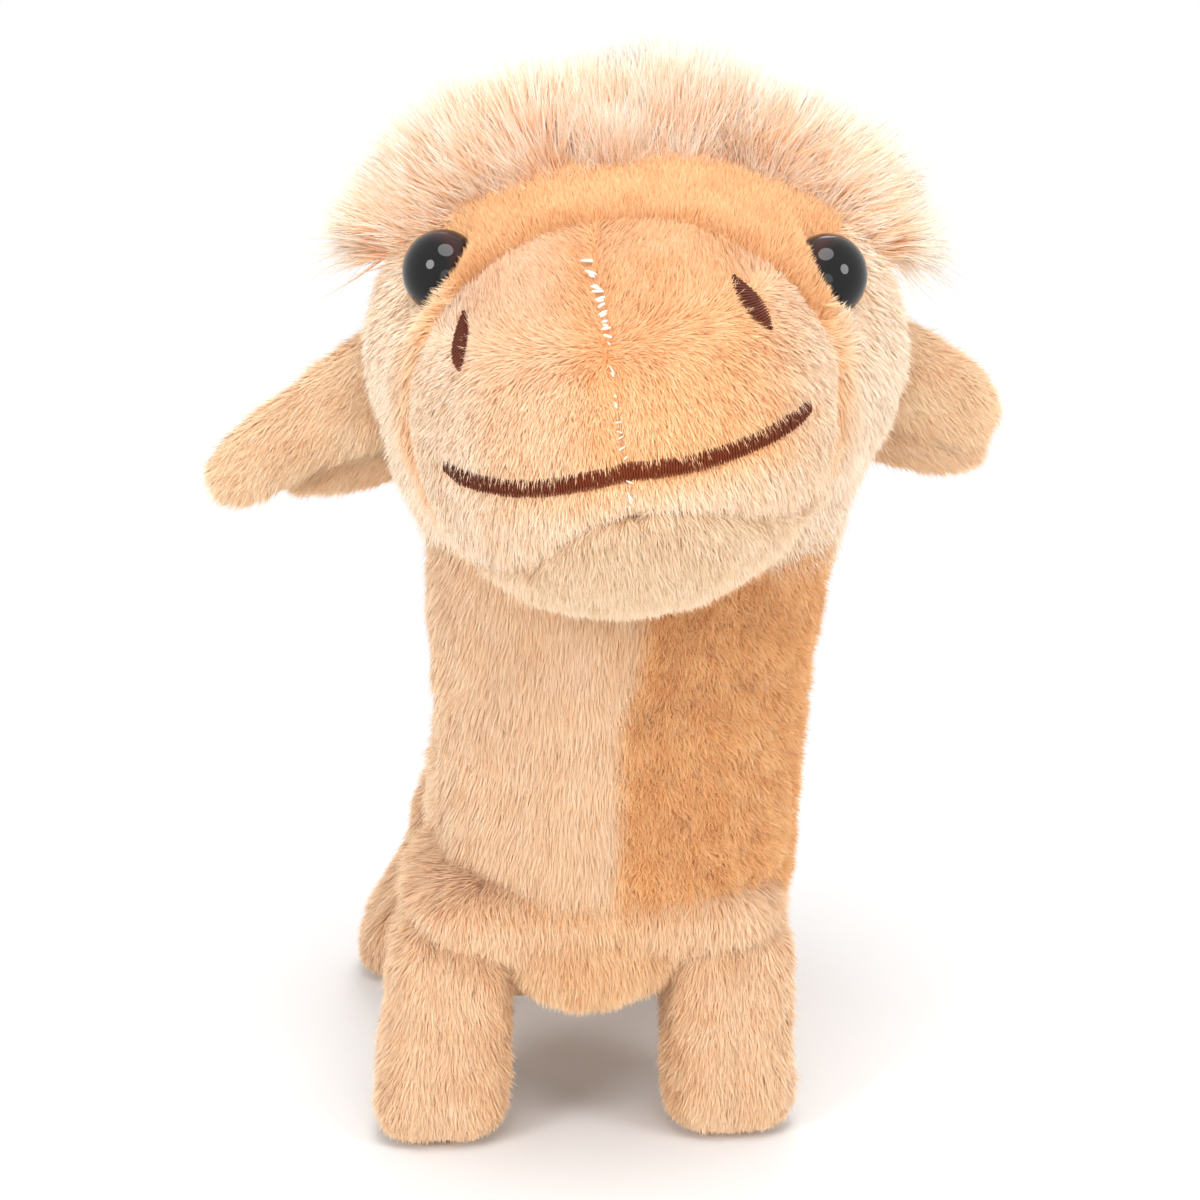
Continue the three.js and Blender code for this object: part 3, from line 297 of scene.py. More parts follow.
def piece(bm, name, finish, body, frame_mm=FLOOR_FRAME, rounds=0, swell=0.0, held=None):
    bmesh.ops.transform(bm, matrix=Matrix.Scale(MM, 4) @ frame_mm, verts=bm.verts)
    bm.normal_update()
    mesh = bpy.data.meshes.new(name)
    bm.to_mesh(mesh)
    bm.free()
    obj = bpy.data.objects.new(name, mesh)
    bpy.context.scene.collection.objects.link(obj)
    if swell:
        stuff(obj, swell, held)
    if rounds:
        smoother = obj.modifiers.new("rounder", "SUBSURF")
        smoother.levels = smoother.render_levels = rounds
        settle(obj)
    obj.data.materials.clear()
    obj.data.materials.append(finish)
    obj.data.shade_smooth()
    if body:
        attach(obj, body)
    return obj


def press(obj, move, frame_mm=FLOOR_FRAME):
    """move(point, normal) gives the point's new place, in the frame's millimetres"""
    into = Matrix.Scale(MM, 4) @ frame_mm
    back = into.inverted()
    turn_back = back.to_3x3().normalized()
    for v in obj.data.vertices:
        v.co = into @ move(back @ v.co, (turn_back @ v.normal).normalized())
    obj.data.update()


def tuck(p, n, away, reach, depth):
    """draws the cloth in beside a seam: by depth on it, and not at all from reach on"""
    return p - n * depth * (1 - away / reach) ** 2 if away < reach else p


# %% [markdown]
# ## Plush cloth and its pile
#
# Plush is a knitted cloth with a pile of fine fibres. The cloth is the skin of each
# pad. The pile is real geometry here: thin tapered fibres, scattered on the skin by a
# node group that leans each one along the direction in which the cloth was brushed.
# A fibre's colour goes from a deeper root to a paler tip, which is painted shade down in
# the pile, and drifts a little from fibre to fibre and from patch to patch, as dyed pile does.


# %% Finish for the cloth under the pile
def ramp(nodes, stops):
    made = nodes.new("ShaderNodeValToRGB")
    elements = made.color_ramp.elements
    while len(elements) < len(stops):
        elements.new(0.5)
    for element, (place, colour) in zip(elements, stops):
        element.position = place
        element.color = (*colour, 1)
    return made


def noise_node(nodes, links, place, scale, detail=2.0):
    made = nodes.new("ShaderNodeTexNoise")
    made.inputs["Scale"].default_value = scale
    made.inputs["Detail"].default_value = detail
    links.new(place.outputs["Object"], made.inputs["Vector"])
    return made


def math_node(nodes, links, kind, a, b):
    made = nodes.new("ShaderNodeMath")
    made.operation = kind
    for socket, value in zip(made.inputs, (a, b)):
        if isinstance(value, (int, float)):
            socket.default_value = value
        else:
            links.new(value, socket)
    return made.outputs[0]


# The sockets of a Mix node in its colour mode
MIX_SHARE, MIX_FIRST, MIX_SECOND, MIX_RESULT = 0, 6, 7, 2


def mix_by(nodes, links, attribute_name, first, second, blend="MIX"):
    """the first colour where the attribute is 0, and blended with the second where it is 1"""
    share = nodes.new("ShaderNodeAttribute")
    share.attribute_name = attribute_name
    mix = nodes.new("ShaderNodeMix")
    mix.data_type, mix.blend_type = "RGBA", blend
    links.new(share.outputs["Fac"], mix.inputs[MIX_SHARE])
    links.new(first, mix.inputs[MIX_FIRST])
    if isinstance(second, bpy.types.NodeSocket):
        links.new(second, mix.inputs[MIX_SECOND])
    else:
        mix.inputs[MIX_SECOND].default_value = second
    return mix.outputs[MIX_RESULT]


def cloth_finish(name, deep, light, other_shade=None, other_light=None):
    """matt plush cloth in a dye's root and middle colours, darker than its pile, so that the gaps are
    painted shade deep in the pile; the hue attribute leads from the first dye to the other
    """
    mat, nodes, links = material(name)
    shader = nodes["Principled BSDF"]
    place = nodes.new("ShaderNodeTexCoord")
    fine = noise_node(nodes, links, place, scale=1500, detail=3)
    patch = noise_node(nodes, links, place, scale=90, detail=3)
    mixed = math_node(nodes, links, "ADD", math_node(nodes, links, "MULTIPLY", fine.outputs["Fac"], 0.5),
                      math_node(nodes, links, "MULTIPLY", patch.outputs["Fac"], 0.5))
    # painted shade: the cloth takes the darker end of its dye, below the fibres' lighter colours
    colour = ramp(nodes, [(0.35, deep), (0.65, light)])
    links.new(mixed, colour.inputs["Fac"])
    out = colour.outputs["Color"]
    if other_shade:
        other = ramp(nodes, [(0.35, other_shade), (0.65, other_light)])
        links.new(mixed, other.inputs["Fac"])
        out = mix_by(nodes, links, "hue", out, other.outputs["Color"])
    links.new(out, shader.inputs["Base Color"])
    bump = nodes.new("ShaderNodeBump")
    bump.inputs["Strength"].default_value = 0.5
    bump.inputs["Distance"].default_value = 0.0006
    links.new(fine.outputs["Fac"], bump.inputs["Height"])
    links.new(bump.outputs[0], shader.inputs["Normal"])
    shader.inputs["Roughness"].default_value = 0.95
    shader.inputs["Sheen Weight"].default_value = 0.25
    shader.inputs["Specular IOR Level"].default_value = 0.1
    return mat


# %% Finish for the fibres
# painted shade: the tint that darkens pile where the skin asks for it
PAINTED_SHADE_TINT = (0.86, 0.77, 0.73, 1)


def pile_finish(name, root, middle, tip, other=None, paints_shade=False):
    """root, middle and tip colours, the darker root painted shade down in the pile; other is the same
    three for the other dye; the last flag multiplies in painted shade where the skin asks for it
    """
    mat, nodes, links = material(name)
    shader = nodes["Principled BSDF"]
    place = nodes.new("ShaderNodeTexCoord")
    patch = noise_node(nodes, links, place, scale=110, detail=3)
    along = nodes.new("ShaderNodeAttribute")
    along.attribute_name = "along"
    tone = nodes.new("ShaderNodeAttribute")
    tone.attribute_name = "tone"
    drift = math_node(nodes, links, "MULTIPLY",
                      math_node(nodes, links, "SUBTRACT", patch.outputs["Fac"], 0.5), 0.7)
    grain = math_node(nodes, links, "MULTIPLY",
                      math_node(nodes, links, "SUBTRACT", tone.outputs["Fac"], 0.5), 0.45)
    # painted shade: the colour grows lighter from a fibre's root to its tip
    level = math_node(nodes, links, "ADD",
                      math_node(nodes, links, "MULTIPLY", along.outputs["Fac"], 0.75),
                      math_node(nodes, links, "ADD", drift, grain))
    level = math_node(nodes, links, "ADD", level, 0.12)
    colour = ramp(nodes, [(0.0, root), (0.45, middle), (1.0, tip)])
    links.new(level, colour.inputs["Fac"])
    out = colour.outputs["Color"]
    if other:
        second = ramp(nodes, [(0.0, other[0]), (0.45, other[1]), (1.0, other[2])])
        links.new(level, second.inputs["Fac"])
        out = mix_by(nodes, links, "hue", out, second.outputs["Color"])
    # painted shade, multiplied in where the skin asks for it
    if paints_shade:
        out = mix_by(nodes, links, "deep", out, PAINTED_SHADE_TINT, "MULTIPLY")
    links.new(out, shader.inputs["Base Color"])
    shader.inputs["Roughness"].default_value = 0.7
    shader.inputs["Sheen Weight"].default_value = 0.3
    shader.inputs["Specular IOR Level"].default_value = 0.25
    return mat


def rgb(r, g, b):
    """a colour as a screen shows it, 0 to 255, in the linear numbers a node takes"""
    return tuple((c / 255 / 12.92) if c <= 10 else ((c / 255 + 0.055) / 1.055) ** 2.4
                 for c in (r, g, b))


# %% [markdown]
# ## Scattering the pile
#
# A fibre is one thin blade. A node group spreads points on the skin, turns a blade
# at each point so that it lies along the brushed direction with its flat side
# outwards, and makes them one mesh. The skin carries the brushed direction as an
# attribute, and a cover attribute that is 0 where nobody sees the cloth.


# %% One fibre
def fibre(name, steps, droop=0.0, taper=0.35):
    """a blade of unit length up its Z axis, its flat side to Y"""
    bm = bmesh.new()
    root = [bm.verts.new((-0.5, 0, 0)), bm.verts.new((0.5, 0, 0))]
    edge = bm.edges.new(root)
    for _ in range(steps - 1):
        grown = bmesh.ops.extrude_edge_only(bm, edges=[edge])["geom"]
        top = [g for g in grown if isinstance(g, bmesh.types.BMVert)]
        bmesh.ops.translate(bm, vec=(0, 0, 1 / steps), verts=top)
        edge = next(g for g in grown if isinstance(g, bmesh.types.BMEdge) and set(g.verts) == set(top))
    tip = bm.verts.new((0, 0, 1))
    bm.faces.new((edge.verts[0], edge.verts[1], tip))
    along = bm.verts.layers.float.new("along")
    for v in bm.verts:
        v[along] = v.co.z
        v.co.x *= 1 - taper * v.co.z
        v.co.y -= droop * v.co.z ** 2
    mesh = bpy.data.meshes.new(name)
    bm.to_mesh(mesh)
    bm.free()
    obj = bpy.data.objects.new(name, mesh)
    bpy.context.scene.collection.objects.link(obj)
    return obj


short_fibre = fibre("short_fibre", 1)
long_fibre = fibre("long_fibre", 2, droop=0.2)


# %% What the skin carries for its pile
def brush(skin, comb, cover=lambda p, n: 1.0, hue=lambda p, n: 0.0, length=lambda p, n: 1.0,
          deep=lambda p, n: 0.0, frame_mm=FLOOR_FRAME):
    """writes comb, out, cover, hue, the painted shade and grow on the skin; p and n are in millimetres"""
    into = Matrix.Scale(MM, 4) @ frame_mm
    back = into.inverted()
    turn_back = back.to_3x3().normalized()
    turn = frame_mm.to_3x3()
    rows = {"comb": [], "out": [], "cover": [], "hue": [], "deep": [], "grow": []}
    for v in skin.data.vertices:
        p, n = back @ v.co, (turn_back @ v.normal).normalized()
        way = Vector(comb(p, n))
        flat = way - n * way.dot(n)
        flat = flat.normalized() if flat.length > 1e-6 else Vector((0, 0, -1))
        rows["comb"].extend(turn @ flat)
        rows["out"].extend(v.normal)
        rows["cover"].append(cover(p, n))
        rows["hue"].append(hue(p, n))
        rows["deep"].append(deep(p, n))
        rows["grow"].append(length(p, n))
    for name, values in rows.items():
        kind = "FLOAT_VECTOR" if name in ("comb", "out") else "FLOAT"
        attribute = (skin.data.attributes.get(name)
                     or skin.data.attributes.new(name, kind, "POINT"))
        attribute.data.foreach_set("vector" if kind == "FLOAT_VECTOR" else "value", values)


def covered_area(mesh):
    """the skin's area in square metres, weighed by its cover"""
    cover = np.zeros(len(mesh.vertices), np.float32)
    mesh.attributes["cover"].data.foreach_get("value", cover)
    area = np.zeros(len(mesh.polygons), np.float32)
    mesh.polygons.foreach_get("area", area)
    corner = np.zeros(len(mesh.polygons), np.int32)
    mesh.polygons.foreach_get("loop_start", corner)
    first = np.zeros(len(mesh.loops), np.int32)
    mesh.loops.foreach_get("vertex_index", first)
    return float((area * cover[first[corner]]).sum())


# %% The node group that grows a pile
def pile(skin, name, finish, count, blade, width, length, lift=0.35, ruffle=0.25, swirl=0.3,
         curl_scale=120.0, seed=1):
    """count fibres on the skin; width and length in millimetres; lift 0 lies flat, 1 stands up"""
    tree = bpy.data.node_groups.new(name, "GeometryNodeTree")
    tree.interface.new_socket("Geometry", in_out="INPUT", socket_type="NodeSocketGeometry")
    tree.interface.new_socket("Geometry", in_out="OUTPUT", socket_type="NodeSocketGeometry")
    nodes, links = tree.nodes, tree.links
    entry, leave = nodes.new("NodeGroupInput"), nodes.new("NodeGroupOutput")

    def carried(attribute, kind):
        made = nodes.new("GeometryNodeInputNamedAttribute")
        made.data_type = kind
        made.inputs["Name"].default_value = attribute
        return made.outputs["Attribute"]

    def vector(kind, a, b=None, scale=None):
        made = nodes.new("ShaderNodeVectorMath")
        made.operation = kind
        for socket, value in ((made.inputs[0], a), (made.inputs[1], b)):
            if isinstance(value, bpy.types.NodeSocket):
                links.new(value, socket)
            elif value is not None:
                socket.default_value = value
        if scale is not None:
            if isinstance(scale, (int, float)):
                made.inputs["Scale"].default_value = scale
            else:
                links.new(scale, made.inputs["Scale"])
        return made.outputs[0]

    def chance(kind, low, high, offset):
        made = nodes.new("FunctionNodeRandomValue")
        made.data_type = kind
        first = 0 if kind == "FLOAT_VECTOR" else 2
        made.inputs[first].default_value = low
        made.inputs[first + 1].default_value = high
        made.inputs["Seed"].default_value = seed * 10 + offset
        return made.outputs[0 if kind == "FLOAT_VECTOR" else 1]

    spread = nodes.new("GeometryNodeDistributePointsOnFaces")
    spread.distribute_method = "RANDOM"
    spread.inputs["Seed"].default_value = seed
    dense = nodes.new("ShaderNodeMath")
    dense.operation = "MULTIPLY"
    dense.inputs[1].default_value = count / max(covered_area(skin.data), 1e-9)
    links.new(carried("cover", "FLOAT"), dense.inputs[0])
    links.new(entry.outputs[0], spread.inputs["Mesh"])
    links.new(dense.outputs[0], spread.inputs["Density"])

    locks = nodes.new("ShaderNodeTexNoise")
    locks.inputs["Scale"].default_value = curl_scale
    locks.inputs["Detail"].default_value = 1.0
    wave = vector("SCALE", vector("SUBTRACT", locks.outputs["Color"], (0.5, 0.5, 0.5)),
                  scale=2 * swirl * 2)
    stray = vector("SCALE", chance("FLOAT_VECTOR", (-1, -1, -1), (1, 1, 1), 1), scale=ruffle)
    lie = vector("SCALE", carried("comb", "FLOAT_VECTOR"), scale=1 - lift)
    stand = vector("SCALE", carried("out", "FLOAT_VECTOR"), scale=lift)
    way = vector("NORMALIZE", vector("ADD", vector("ADD", lie, stand), vector("ADD", wave, stray)))
    side = vector("ADD", carried("out", "FLOAT_VECTOR"),
                  vector("SCALE", chance("FLOAT_VECTOR", (-1, -1, -1), (1, 1, 1), 2), scale=0.55))
    aim = nodes.new("FunctionNodeAxesToRotation")
    aim.primary_axis, aim.secondary_axis = "Z", "Y"
    links.new(way, aim.inputs[0])
    links.new(side, aim.inputs[1])

    size = nodes.new("ShaderNodeCombineXYZ")
    size.inputs[0].default_value = width * MM
    grow = nodes.new("ShaderNodeMath")
    grow.operation = "MULTIPLY"
    links.new(chance("FLOAT", 0.6 * length * MM, 1.25 * length * MM, 3), grow.inputs[0])
    links.new(carried("grow", "FLOAT"), grow.inputs[1])
    links.new(grow.outputs[0], size.inputs[1])
    links.new(grow.outputs[0], size.inputs[2])

    source = nodes.new("GeometryNodeObjectInfo")
    source.inputs["Object"].default_value = blade
    plant = nodes.new("GeometryNodeInstanceOnPoints")
    links.new(spread.outputs["Points"], plant.inputs["Points"])
    links.new(source.outputs["Geometry"], plant.inputs["Instance"])
    links.new(aim.outputs[0], plant.inputs["Rotation"])
    links.new(size.outputs[0], plant.inputs["Scale"])
    tone = nodes.new("GeometryNodeStoreNamedAttribute")
    tone.data_type, tone.domain = "FLOAT", "INSTANCE"
    tone.inputs["Name"].default_value = "tone"
    links.new(plant.outputs[0], tone.inputs["Geometry"])
    links.new(chance("FLOAT", 0.0, 1.0, 4), tone.inputs["Value"])
    real = nodes.new("GeometryNodeRealizeInstances")
    links.new(tone.outputs[0], real.inputs[0])
    links.new(real.outputs[0], leave.inputs[0])

    grower = skin.modifiers.new("grower", "NODES")
    grower.node_group = tree
    bpy.context.view_layer.update()
    grown = skin.evaluated_get(bpy.context.evaluated_depsgraph_get())
    mesh = bpy.data.meshes.new_from_object(grown)
    skin.modifiers.remove(grower)
    bpy.data.node_groups.remove(tree)
    for spare in ("comb", "out", "cover", "grow"):
        if spare in mesh.attributes:
            mesh.attributes.remove(mesh.attributes[spare])
    mesh.name = name
    mesh.materials.clear()
    mesh.materials.append(finish)
    obj = bpy.data.objects.new(name, mesh)
    bpy.context.scene.collection.objects.link(obj)
    print(name, "has", len(mesh.polygons), "faces")
    return obj


# %% [markdown]
# ## Dyes and painted shade
#
# The camel is sewn from a few cloths: a peach one on the forehead and muzzle that
# turns fair on the cheeks, a pale one on the body, a deeper tan on one half of the
# neck, and a cream one under the chin. Each dye is three colours, for a fibre's root,
# middle and tip, and the darker root is painted shade down in the pile. The mane is a
# long pale pile whose roots are a warm tan, painted shade where the hair leaves the
# seam. The brow's darker orange, the deeper tan between the legs, the darker ear folds
# and the darkened top of the muzzle are painted shade too.

# %% The plush finishes
PEACH = (rgb(228, 158, 94), rgb(247, 194, 138), rgb(255, 222, 176))
PALE = (rgb(226, 170, 120), rgb(242, 202, 160), rgb(252, 226, 194))
TAN = (rgb(215, 146, 84), rgb(242, 182, 120), rgb(252, 214, 160))
FAIR = (rgb(238, 200, 158), rgb(249, 224, 195), rgb(255, 241, 222))
CREAM = (rgb(222, 182, 138), rgb(236, 204, 166), rgb(250, 228, 200))
ROOT = (rgb(250, 208, 170), rgb(255, 238, 218), rgb(255, 252, 246))
face_cloth = cloth_finish("face_cloth", PEACH[0], PEACH[1], FAIR[0], FAIR[1])
peach_cloth = cloth_finish("peach_cloth", PEACH[0], PEACH[1])
pale_cloth = cloth_finish("pale_cloth", PALE[0], PALE[1], TAN[0], TAN[1])
cream_cloth = cloth_finish("cream_cloth", CREAM[0], CREAM[1])
root_cloth = cloth_finish("root_cloth", rgb(244, 190, 144), rgb(252, 216, 180))
# the face's pile takes painted shade where its skin asks for it, on the muzzle's top
face_pile = pile_finish("face_pile", *PEACH, FAIR, paints_shade=True)
peach_pile = pile_finish("peach_pile", *PEACH)
# painted shade: the brow's pile is a darker orange than the peach, for the shade under the mane's roots
brow_pile = pile_finish("brow_pile", rgb(218, 144, 84), rgb(234, 174, 118), rgb(245, 202, 150))
# the ears' pile; its other dye, the pale body colour, paints the shade on the fold under the flap
ear_pile_dye = pile_finish("ear_pile_dye", rgb(236, 180, 130), rgb(251, 214, 172), rgb(255, 236, 206),
                           PALE)
pale_pile = pile_finish("pale_pile", *PALE, TAN)
cream_pile = pile_finish("cream_pile", *CREAM)
# the mane's other dye, a warm tan: near the seam it paints the shade among the roots, and on the tufts it
# is their warmer colour all over
mane_pile = pile_finish("mane_pile", *ROOT, (rgb(238, 124, 46), rgb(252, 203, 154), rgb(255, 250, 238)))
sole_felt = cloth_finish("sole_felt", rgb(206, 158, 112), rgb(228, 184, 140))
print("the plush finishes are ready")

# %% [markdown]
# ## The head
#
# The head is a stuffed ball whose lower edge is drawn in round the neck. It is a
# column of sections that follow the ball, with a collar below.

# %% Head skin
SKULL_MIDDLE = Vector((0.0, -2.0, 42.0))
SKULL_HALF = Vector((66.0, 58.0, 50.0))
EYE_SPOTS = {"right": Vector((-47.5, -33.0, 63.5)), "left": Vector((41.2, -38.4, 62.5))}
EYE_RADIUS = 9.8


def skull_section(z):
    share = math.sqrt(max(0.0, 1 - ((z - SKULL_MIDDLE.z) / SKULL_HALF.z) ** 2))
    return (z, 0.0, SKULL_MIDDLE.y, SKULL_HALF.x * share, SKULL_HALF.y * share)


collar = [(-17, 0, -1, 46.5, 33.0), (-12, 0, -1, 49.3, 35.6), (-4, -0.5, -1.2, 51.5, 39.0),
          (5, -1.5, -1.5, 54.5, 43.5), (14, -2, -2, 58.6, 49.0)]
head_sections = collar + [skull_section(z) for z in (23, 32, 42, 52, 61, 69, 76, 82, 87, 90, 91.6)]
head_skin = piece(column(head_sections, sides=56, squareness=2.05), "head_skin", face_cloth, None,
                  HEAD_FRAME, rounds=1, swell=1.2)
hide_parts("head_plush")
print("head skin:", len(head_skin.data.polygons), "faces")


# %% Inside the snout, and near an eye
SNOUT_BACK = SNOUT_FRAME.inverted() @ HEAD_FRAME


def depth_in_egg(q, half):
    """below 1 where a point is inside an egg round the origin, and above 1 outside"""
    return math.sqrt(sum((q[i] / half[i]) ** 2 for i in range(3)))


def snout_depth(p):
    """the same for a point of the head's frame and the snout"""
    return depth_in_egg(SNOUT_BACK @ Vector(p), SNOUT_HALF)


def eye_distance(p):
    return min((Vector(p) - spot).length for spot in EYE_SPOTS.values())


def ease(value, low, high):
    """0 below low, 1 above high, and smooth between"""
    t = max(0.0, min(1.0, (value - low) / (high - low)))
    return t * t * (3 - 2 * t)


def beside_eye(p):
    """1 on the fold of cloth that laps over the inner edge of an eye, 0 away from it"""
    spot = EYE_SPOTS["right" if p.x < 0 else "left"]
    way = Vector(p) - spot
    inner = max(0.0, (math.copysign(0.88, -spot.x) * way.x - 0.47 * way.z) / max(way.length, 1e-6))
    return math.exp(-((way.length - 12.5) / 5.0) ** 2) * inner ** 1.2


def soften_to_snout(p, n):
    """fills the crease between the ball and the snout, as stuffing does, and laps an eye"""
    gap = abs(snout_depth(p) - 1) * 45
    if gap < 20 and p.z > -2:
        fill = 6.8 - 3.2 * ease(p.x, 10, 40) * (1 - ease(p.z, 45, 60))
        p = p + n * fill * (1 - gap / 20) ** 2 * ease(eye_distance(p), 9.5, 14)
    return p + n * 6.4 * beside_eye(p)


press(head_skin, soften_to_snout, HEAD_FRAME)

# %% [markdown]
# ## Muzzle and chin
#
# The muzzle and the forehead are one big peach dome, sewn from two halves whose seam
# runs down its middle. Below the mouth a cream panel is set in as the chin. Both are
# cut from one egg. The cut edges and the middle seam are drawn in, as thread does.

# %% Muzzle skin
CHIN_LINE = -15.0
SNOUT_REAR = 34.0


def snout_half(above, fineness):
    bm = egg(SNOUT_HALF, fineness=fineness)
    for place, normal in (((0, 0, CHIN_LINE + (-0.8 if above else 0.8)), (0, 0, 1 if above else -1)),
                          ((0, SNOUT_REAR, 0), (0, -1, 0))):
        geom = list(bm.verts) + list(bm.edges) + list(bm.faces)
        bmesh.ops.bisect_plane(bm, geom=geom, plane_co=place, plane_no=normal, clear_inner=True)
        rim = [e for e in bm.edges if e.is_boundary]
        bmesh.ops.holes_fill(bm, edges=rim, sides=0)
    bmesh.ops.recalc_face_normals(bm, faces=bm.faces)
    return bm


SNOUT_INTO = SNOUT_FRAME.inverted()


def snout_seam(place):
    """the cut edges of the two halves stay where they are sewn"""
    q = SNOUT_INTO @ Vector(place)
    return q.y > SNOUT_REAR - 2 or abs(q.z - CHIN_LINE) < 1.5


muzzle_skin = piece(snout_half(above=True, fineness=5), "muzzle_skin", face_cloth, "head", SNOUT_FRAME,
                    rounds=1, swell=1.0, held=snout_seam)
chin_skin = piece(snout_half(above=False, fineness=5), "chin_skin", cream_cloth, "head", SNOUT_FRAME,
                  rounds=1, swell=1.4, held=snout_seam)
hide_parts("muzzle")
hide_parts("chin_panel")

# %% The seams of the muzzle and the chin, drawn in by their thread
MOUTH = [(-39.1, 0.7), (-35.3, -1.4), (-30.9, -2.5), (-24.4, -3.7), (-18.0, -4.0), (-9.4, -3.6),
         (-2.6, -3.0), (1.1, -2.8), (7.3, -3.3), (15.6, -3.6), (24.2, -3.0), (32.0, -2.0), (38.0, -0.7),
         (41.0, 0.2)]
NOSE_SEAM = [(-1.7, 38.4), (-0.8, 35.1), (0.3, 31.3), (0.9, 23.8), (0.7, 16.2), (0.3, 8.4), (0.3, 2.2),
             (1.1, -2.2), (0.2, -8.5), (-0.8, -13.5)]
NOSTRILS = {"right": [(-29.8, 30.6), (-30.4, 27.5), (-31.0, 24.0), (-31.4, 20.0)],
            "left": [(28.4, 29.4), (30.2, 26.0), (32.0, 22.4), (34.4, 17.8)]}


def along_line(line, share):
    """the point at a share of a line's length, and the line's direction there"""
    lengths = [math.dist(a, b) for a, b in zip(line, line[1:])]
    left = share * sum(lengths)
    for (a, b), length in zip(zip(line, line[1:]), lengths):
        if left <= length or (a, b) == (line[-2], line[-1]):
            t = left / length
            return Vector(a).lerp(Vector(b), t), (Vector(b) - Vector(a)).normalized()
        left -= length


def off_line(line, x, z):
    """how far a point of the snout's front is from a line on it"""
    best = 99.0
    for a, b in zip(line, line[1:]):
        a, b = Vector(a), Vector(b)
        t = max(0.0, min(1.0, (Vector((x, z)) - a).dot(b - a) / (b - a).length_squared))
        best = min(best, (Vector((x, z)) - a.lerp(b, t)).length)
    return best


# The seam over the chin is an arch: how far its places lie above the level cut
CHIN_ARCH = [(-47, -9.0), (-35, -9.0), (-26.4, -8.0), (-23.7, -6.8), (-16, -2.0), (-9, 1.6), (-1.4, 3.0),
             (6, 2.6), (14, 0.6), (22, -2.4), (33, -6.6), (38, -8.2), (47, -9.0)]


def arch(p):
    """how far the seam is shifted at a point's side place and depth"""
    return (float(np.interp(p.x, [x for x, _ in CHIN_ARCH], [z for _, z in CHIN_ARCH]))
            * ease(12 - p.y, 0, 20))


def bend_to_arch(p):
    """slides the cloth over the egg so that the level cut becomes the arch"""
    off = p.z - CHIN_LINE
    shift = arch(p) * (1 - ease(abs(off), 0, 10.5 if off > 0 else 25))
    reach = [max(0.05, 1 - (z / (SNOUT_HALF.z + 2)) ** 2) for z in (p.z, p.z + shift)]
    k = math.sqrt(reach[1] / reach[0])
    return Vector((p.x * k, p.y * k, p.z + shift))


SNOUT_TO_HEAD = SNOUT_BACK.inverted()


def rise_to_skull(p):
    """how far the muzzle's cloth stands up where it runs into the head, in millimetres"""
    q = SNOUT_TO_HEAD @ Vector(p) - SKULL_MIDDLE
    gap = (depth_in_egg(q, SKULL_HALF) - 1) * 55
    return 3.6 * (1 - max(0.0, min(16.0, gap)) / 16) ** 2 * ease(p.z, -8, 6)


# How far from a cut edge its thread pulls, how deep, and how far the chin stands out below
CUT_REACH, CUT_DEPTH, CHIN_SWELL = 5, 0.9, 1.0
NOSE_SEAM_FOOT = -11


def sewn_muzzle(p, n):
    p = p + n * rise_to_skull(p)
    p = tuck(p, n, p.z - CHIN_LINE, CUT_REACH, CUT_DEPTH)
    if p.y < 0:
        if p.z > NOSE_SEAM_FOOT:
            p = tuck(p, n, off_line(NOSE_SEAM, p.x, p.z), 3.2, 1.0)
        p = tuck(p, n, off_line(MOUTH, p.x, p.z), CUT_REACH, CUT_DEPTH)
    return bend_to_arch(p)


def sewn_chin(p, n):
    under = CHIN_LINE - p.z
    if under < CUT_REACH:
        p = tuck(p, n, max(0.0, under), CUT_REACH, CUT_DEPTH)
    elif p.y < 0:
        p = p + n * CHIN_SWELL * math.sin(min(1.0, (under - CUT_REACH) / 14) * math.pi / 2)
    return bend_to_arch(p)


press(muzzle_skin, sewn_muzzle, SNOUT_FRAME)
press(chin_skin, sewn_chin, SNOUT_FRAME)

# %% Pile of the head, the muzzle and the chin


def hidden_on_head(p):
    return snout_depth(p) < 0.985 or eye_distance(p) < EYE_RADIUS + 0.8 or p.z < -12


def forehead(p):
    return p.y < -10 and p.z > 54 and abs(p.x) < 46


def cheek_dye(p, n):
    """peach near the snout and on the brow, fair on the cheeks"""
    away = ease((snout_depth(p) - 1) * 45, 0, 10)
    return away * (1 - ease(p.z, 50, 62) * (1 - ease(abs(p.x), 38, 50)))


def near_eye(p, n):
    return min(1.0, 0.45 + max(0.0, eye_distance(p) - EYE_RADIUS) / 12) + 0.9 * beside_eye(p)


def over_eye(p):
    """the way from a point to the front of its eye"""
    return EYE_SPOTS["right" if p.x < 0 else "left"] - Vector(p) + Vector((0, -6, 0))


def face_comb(p, n):
    """down the cheeks; over the rim of an eye on its inner side"""
    down = Vector((0.15 * p.x / 60, 0.3, -1))
    return down.lerp(over_eye(p), min(1, 1.5 * beside_eye(p)))


def brow_comb(p, n):
    """up the brow; over the rim of an eye on its inner side"""
    up = Vector((0.5 * p.x / 50, 0.4, 1.0))
    return up.lerp(over_eye(p).normalized(), min(1, 1.5 * beside_eye(p)))


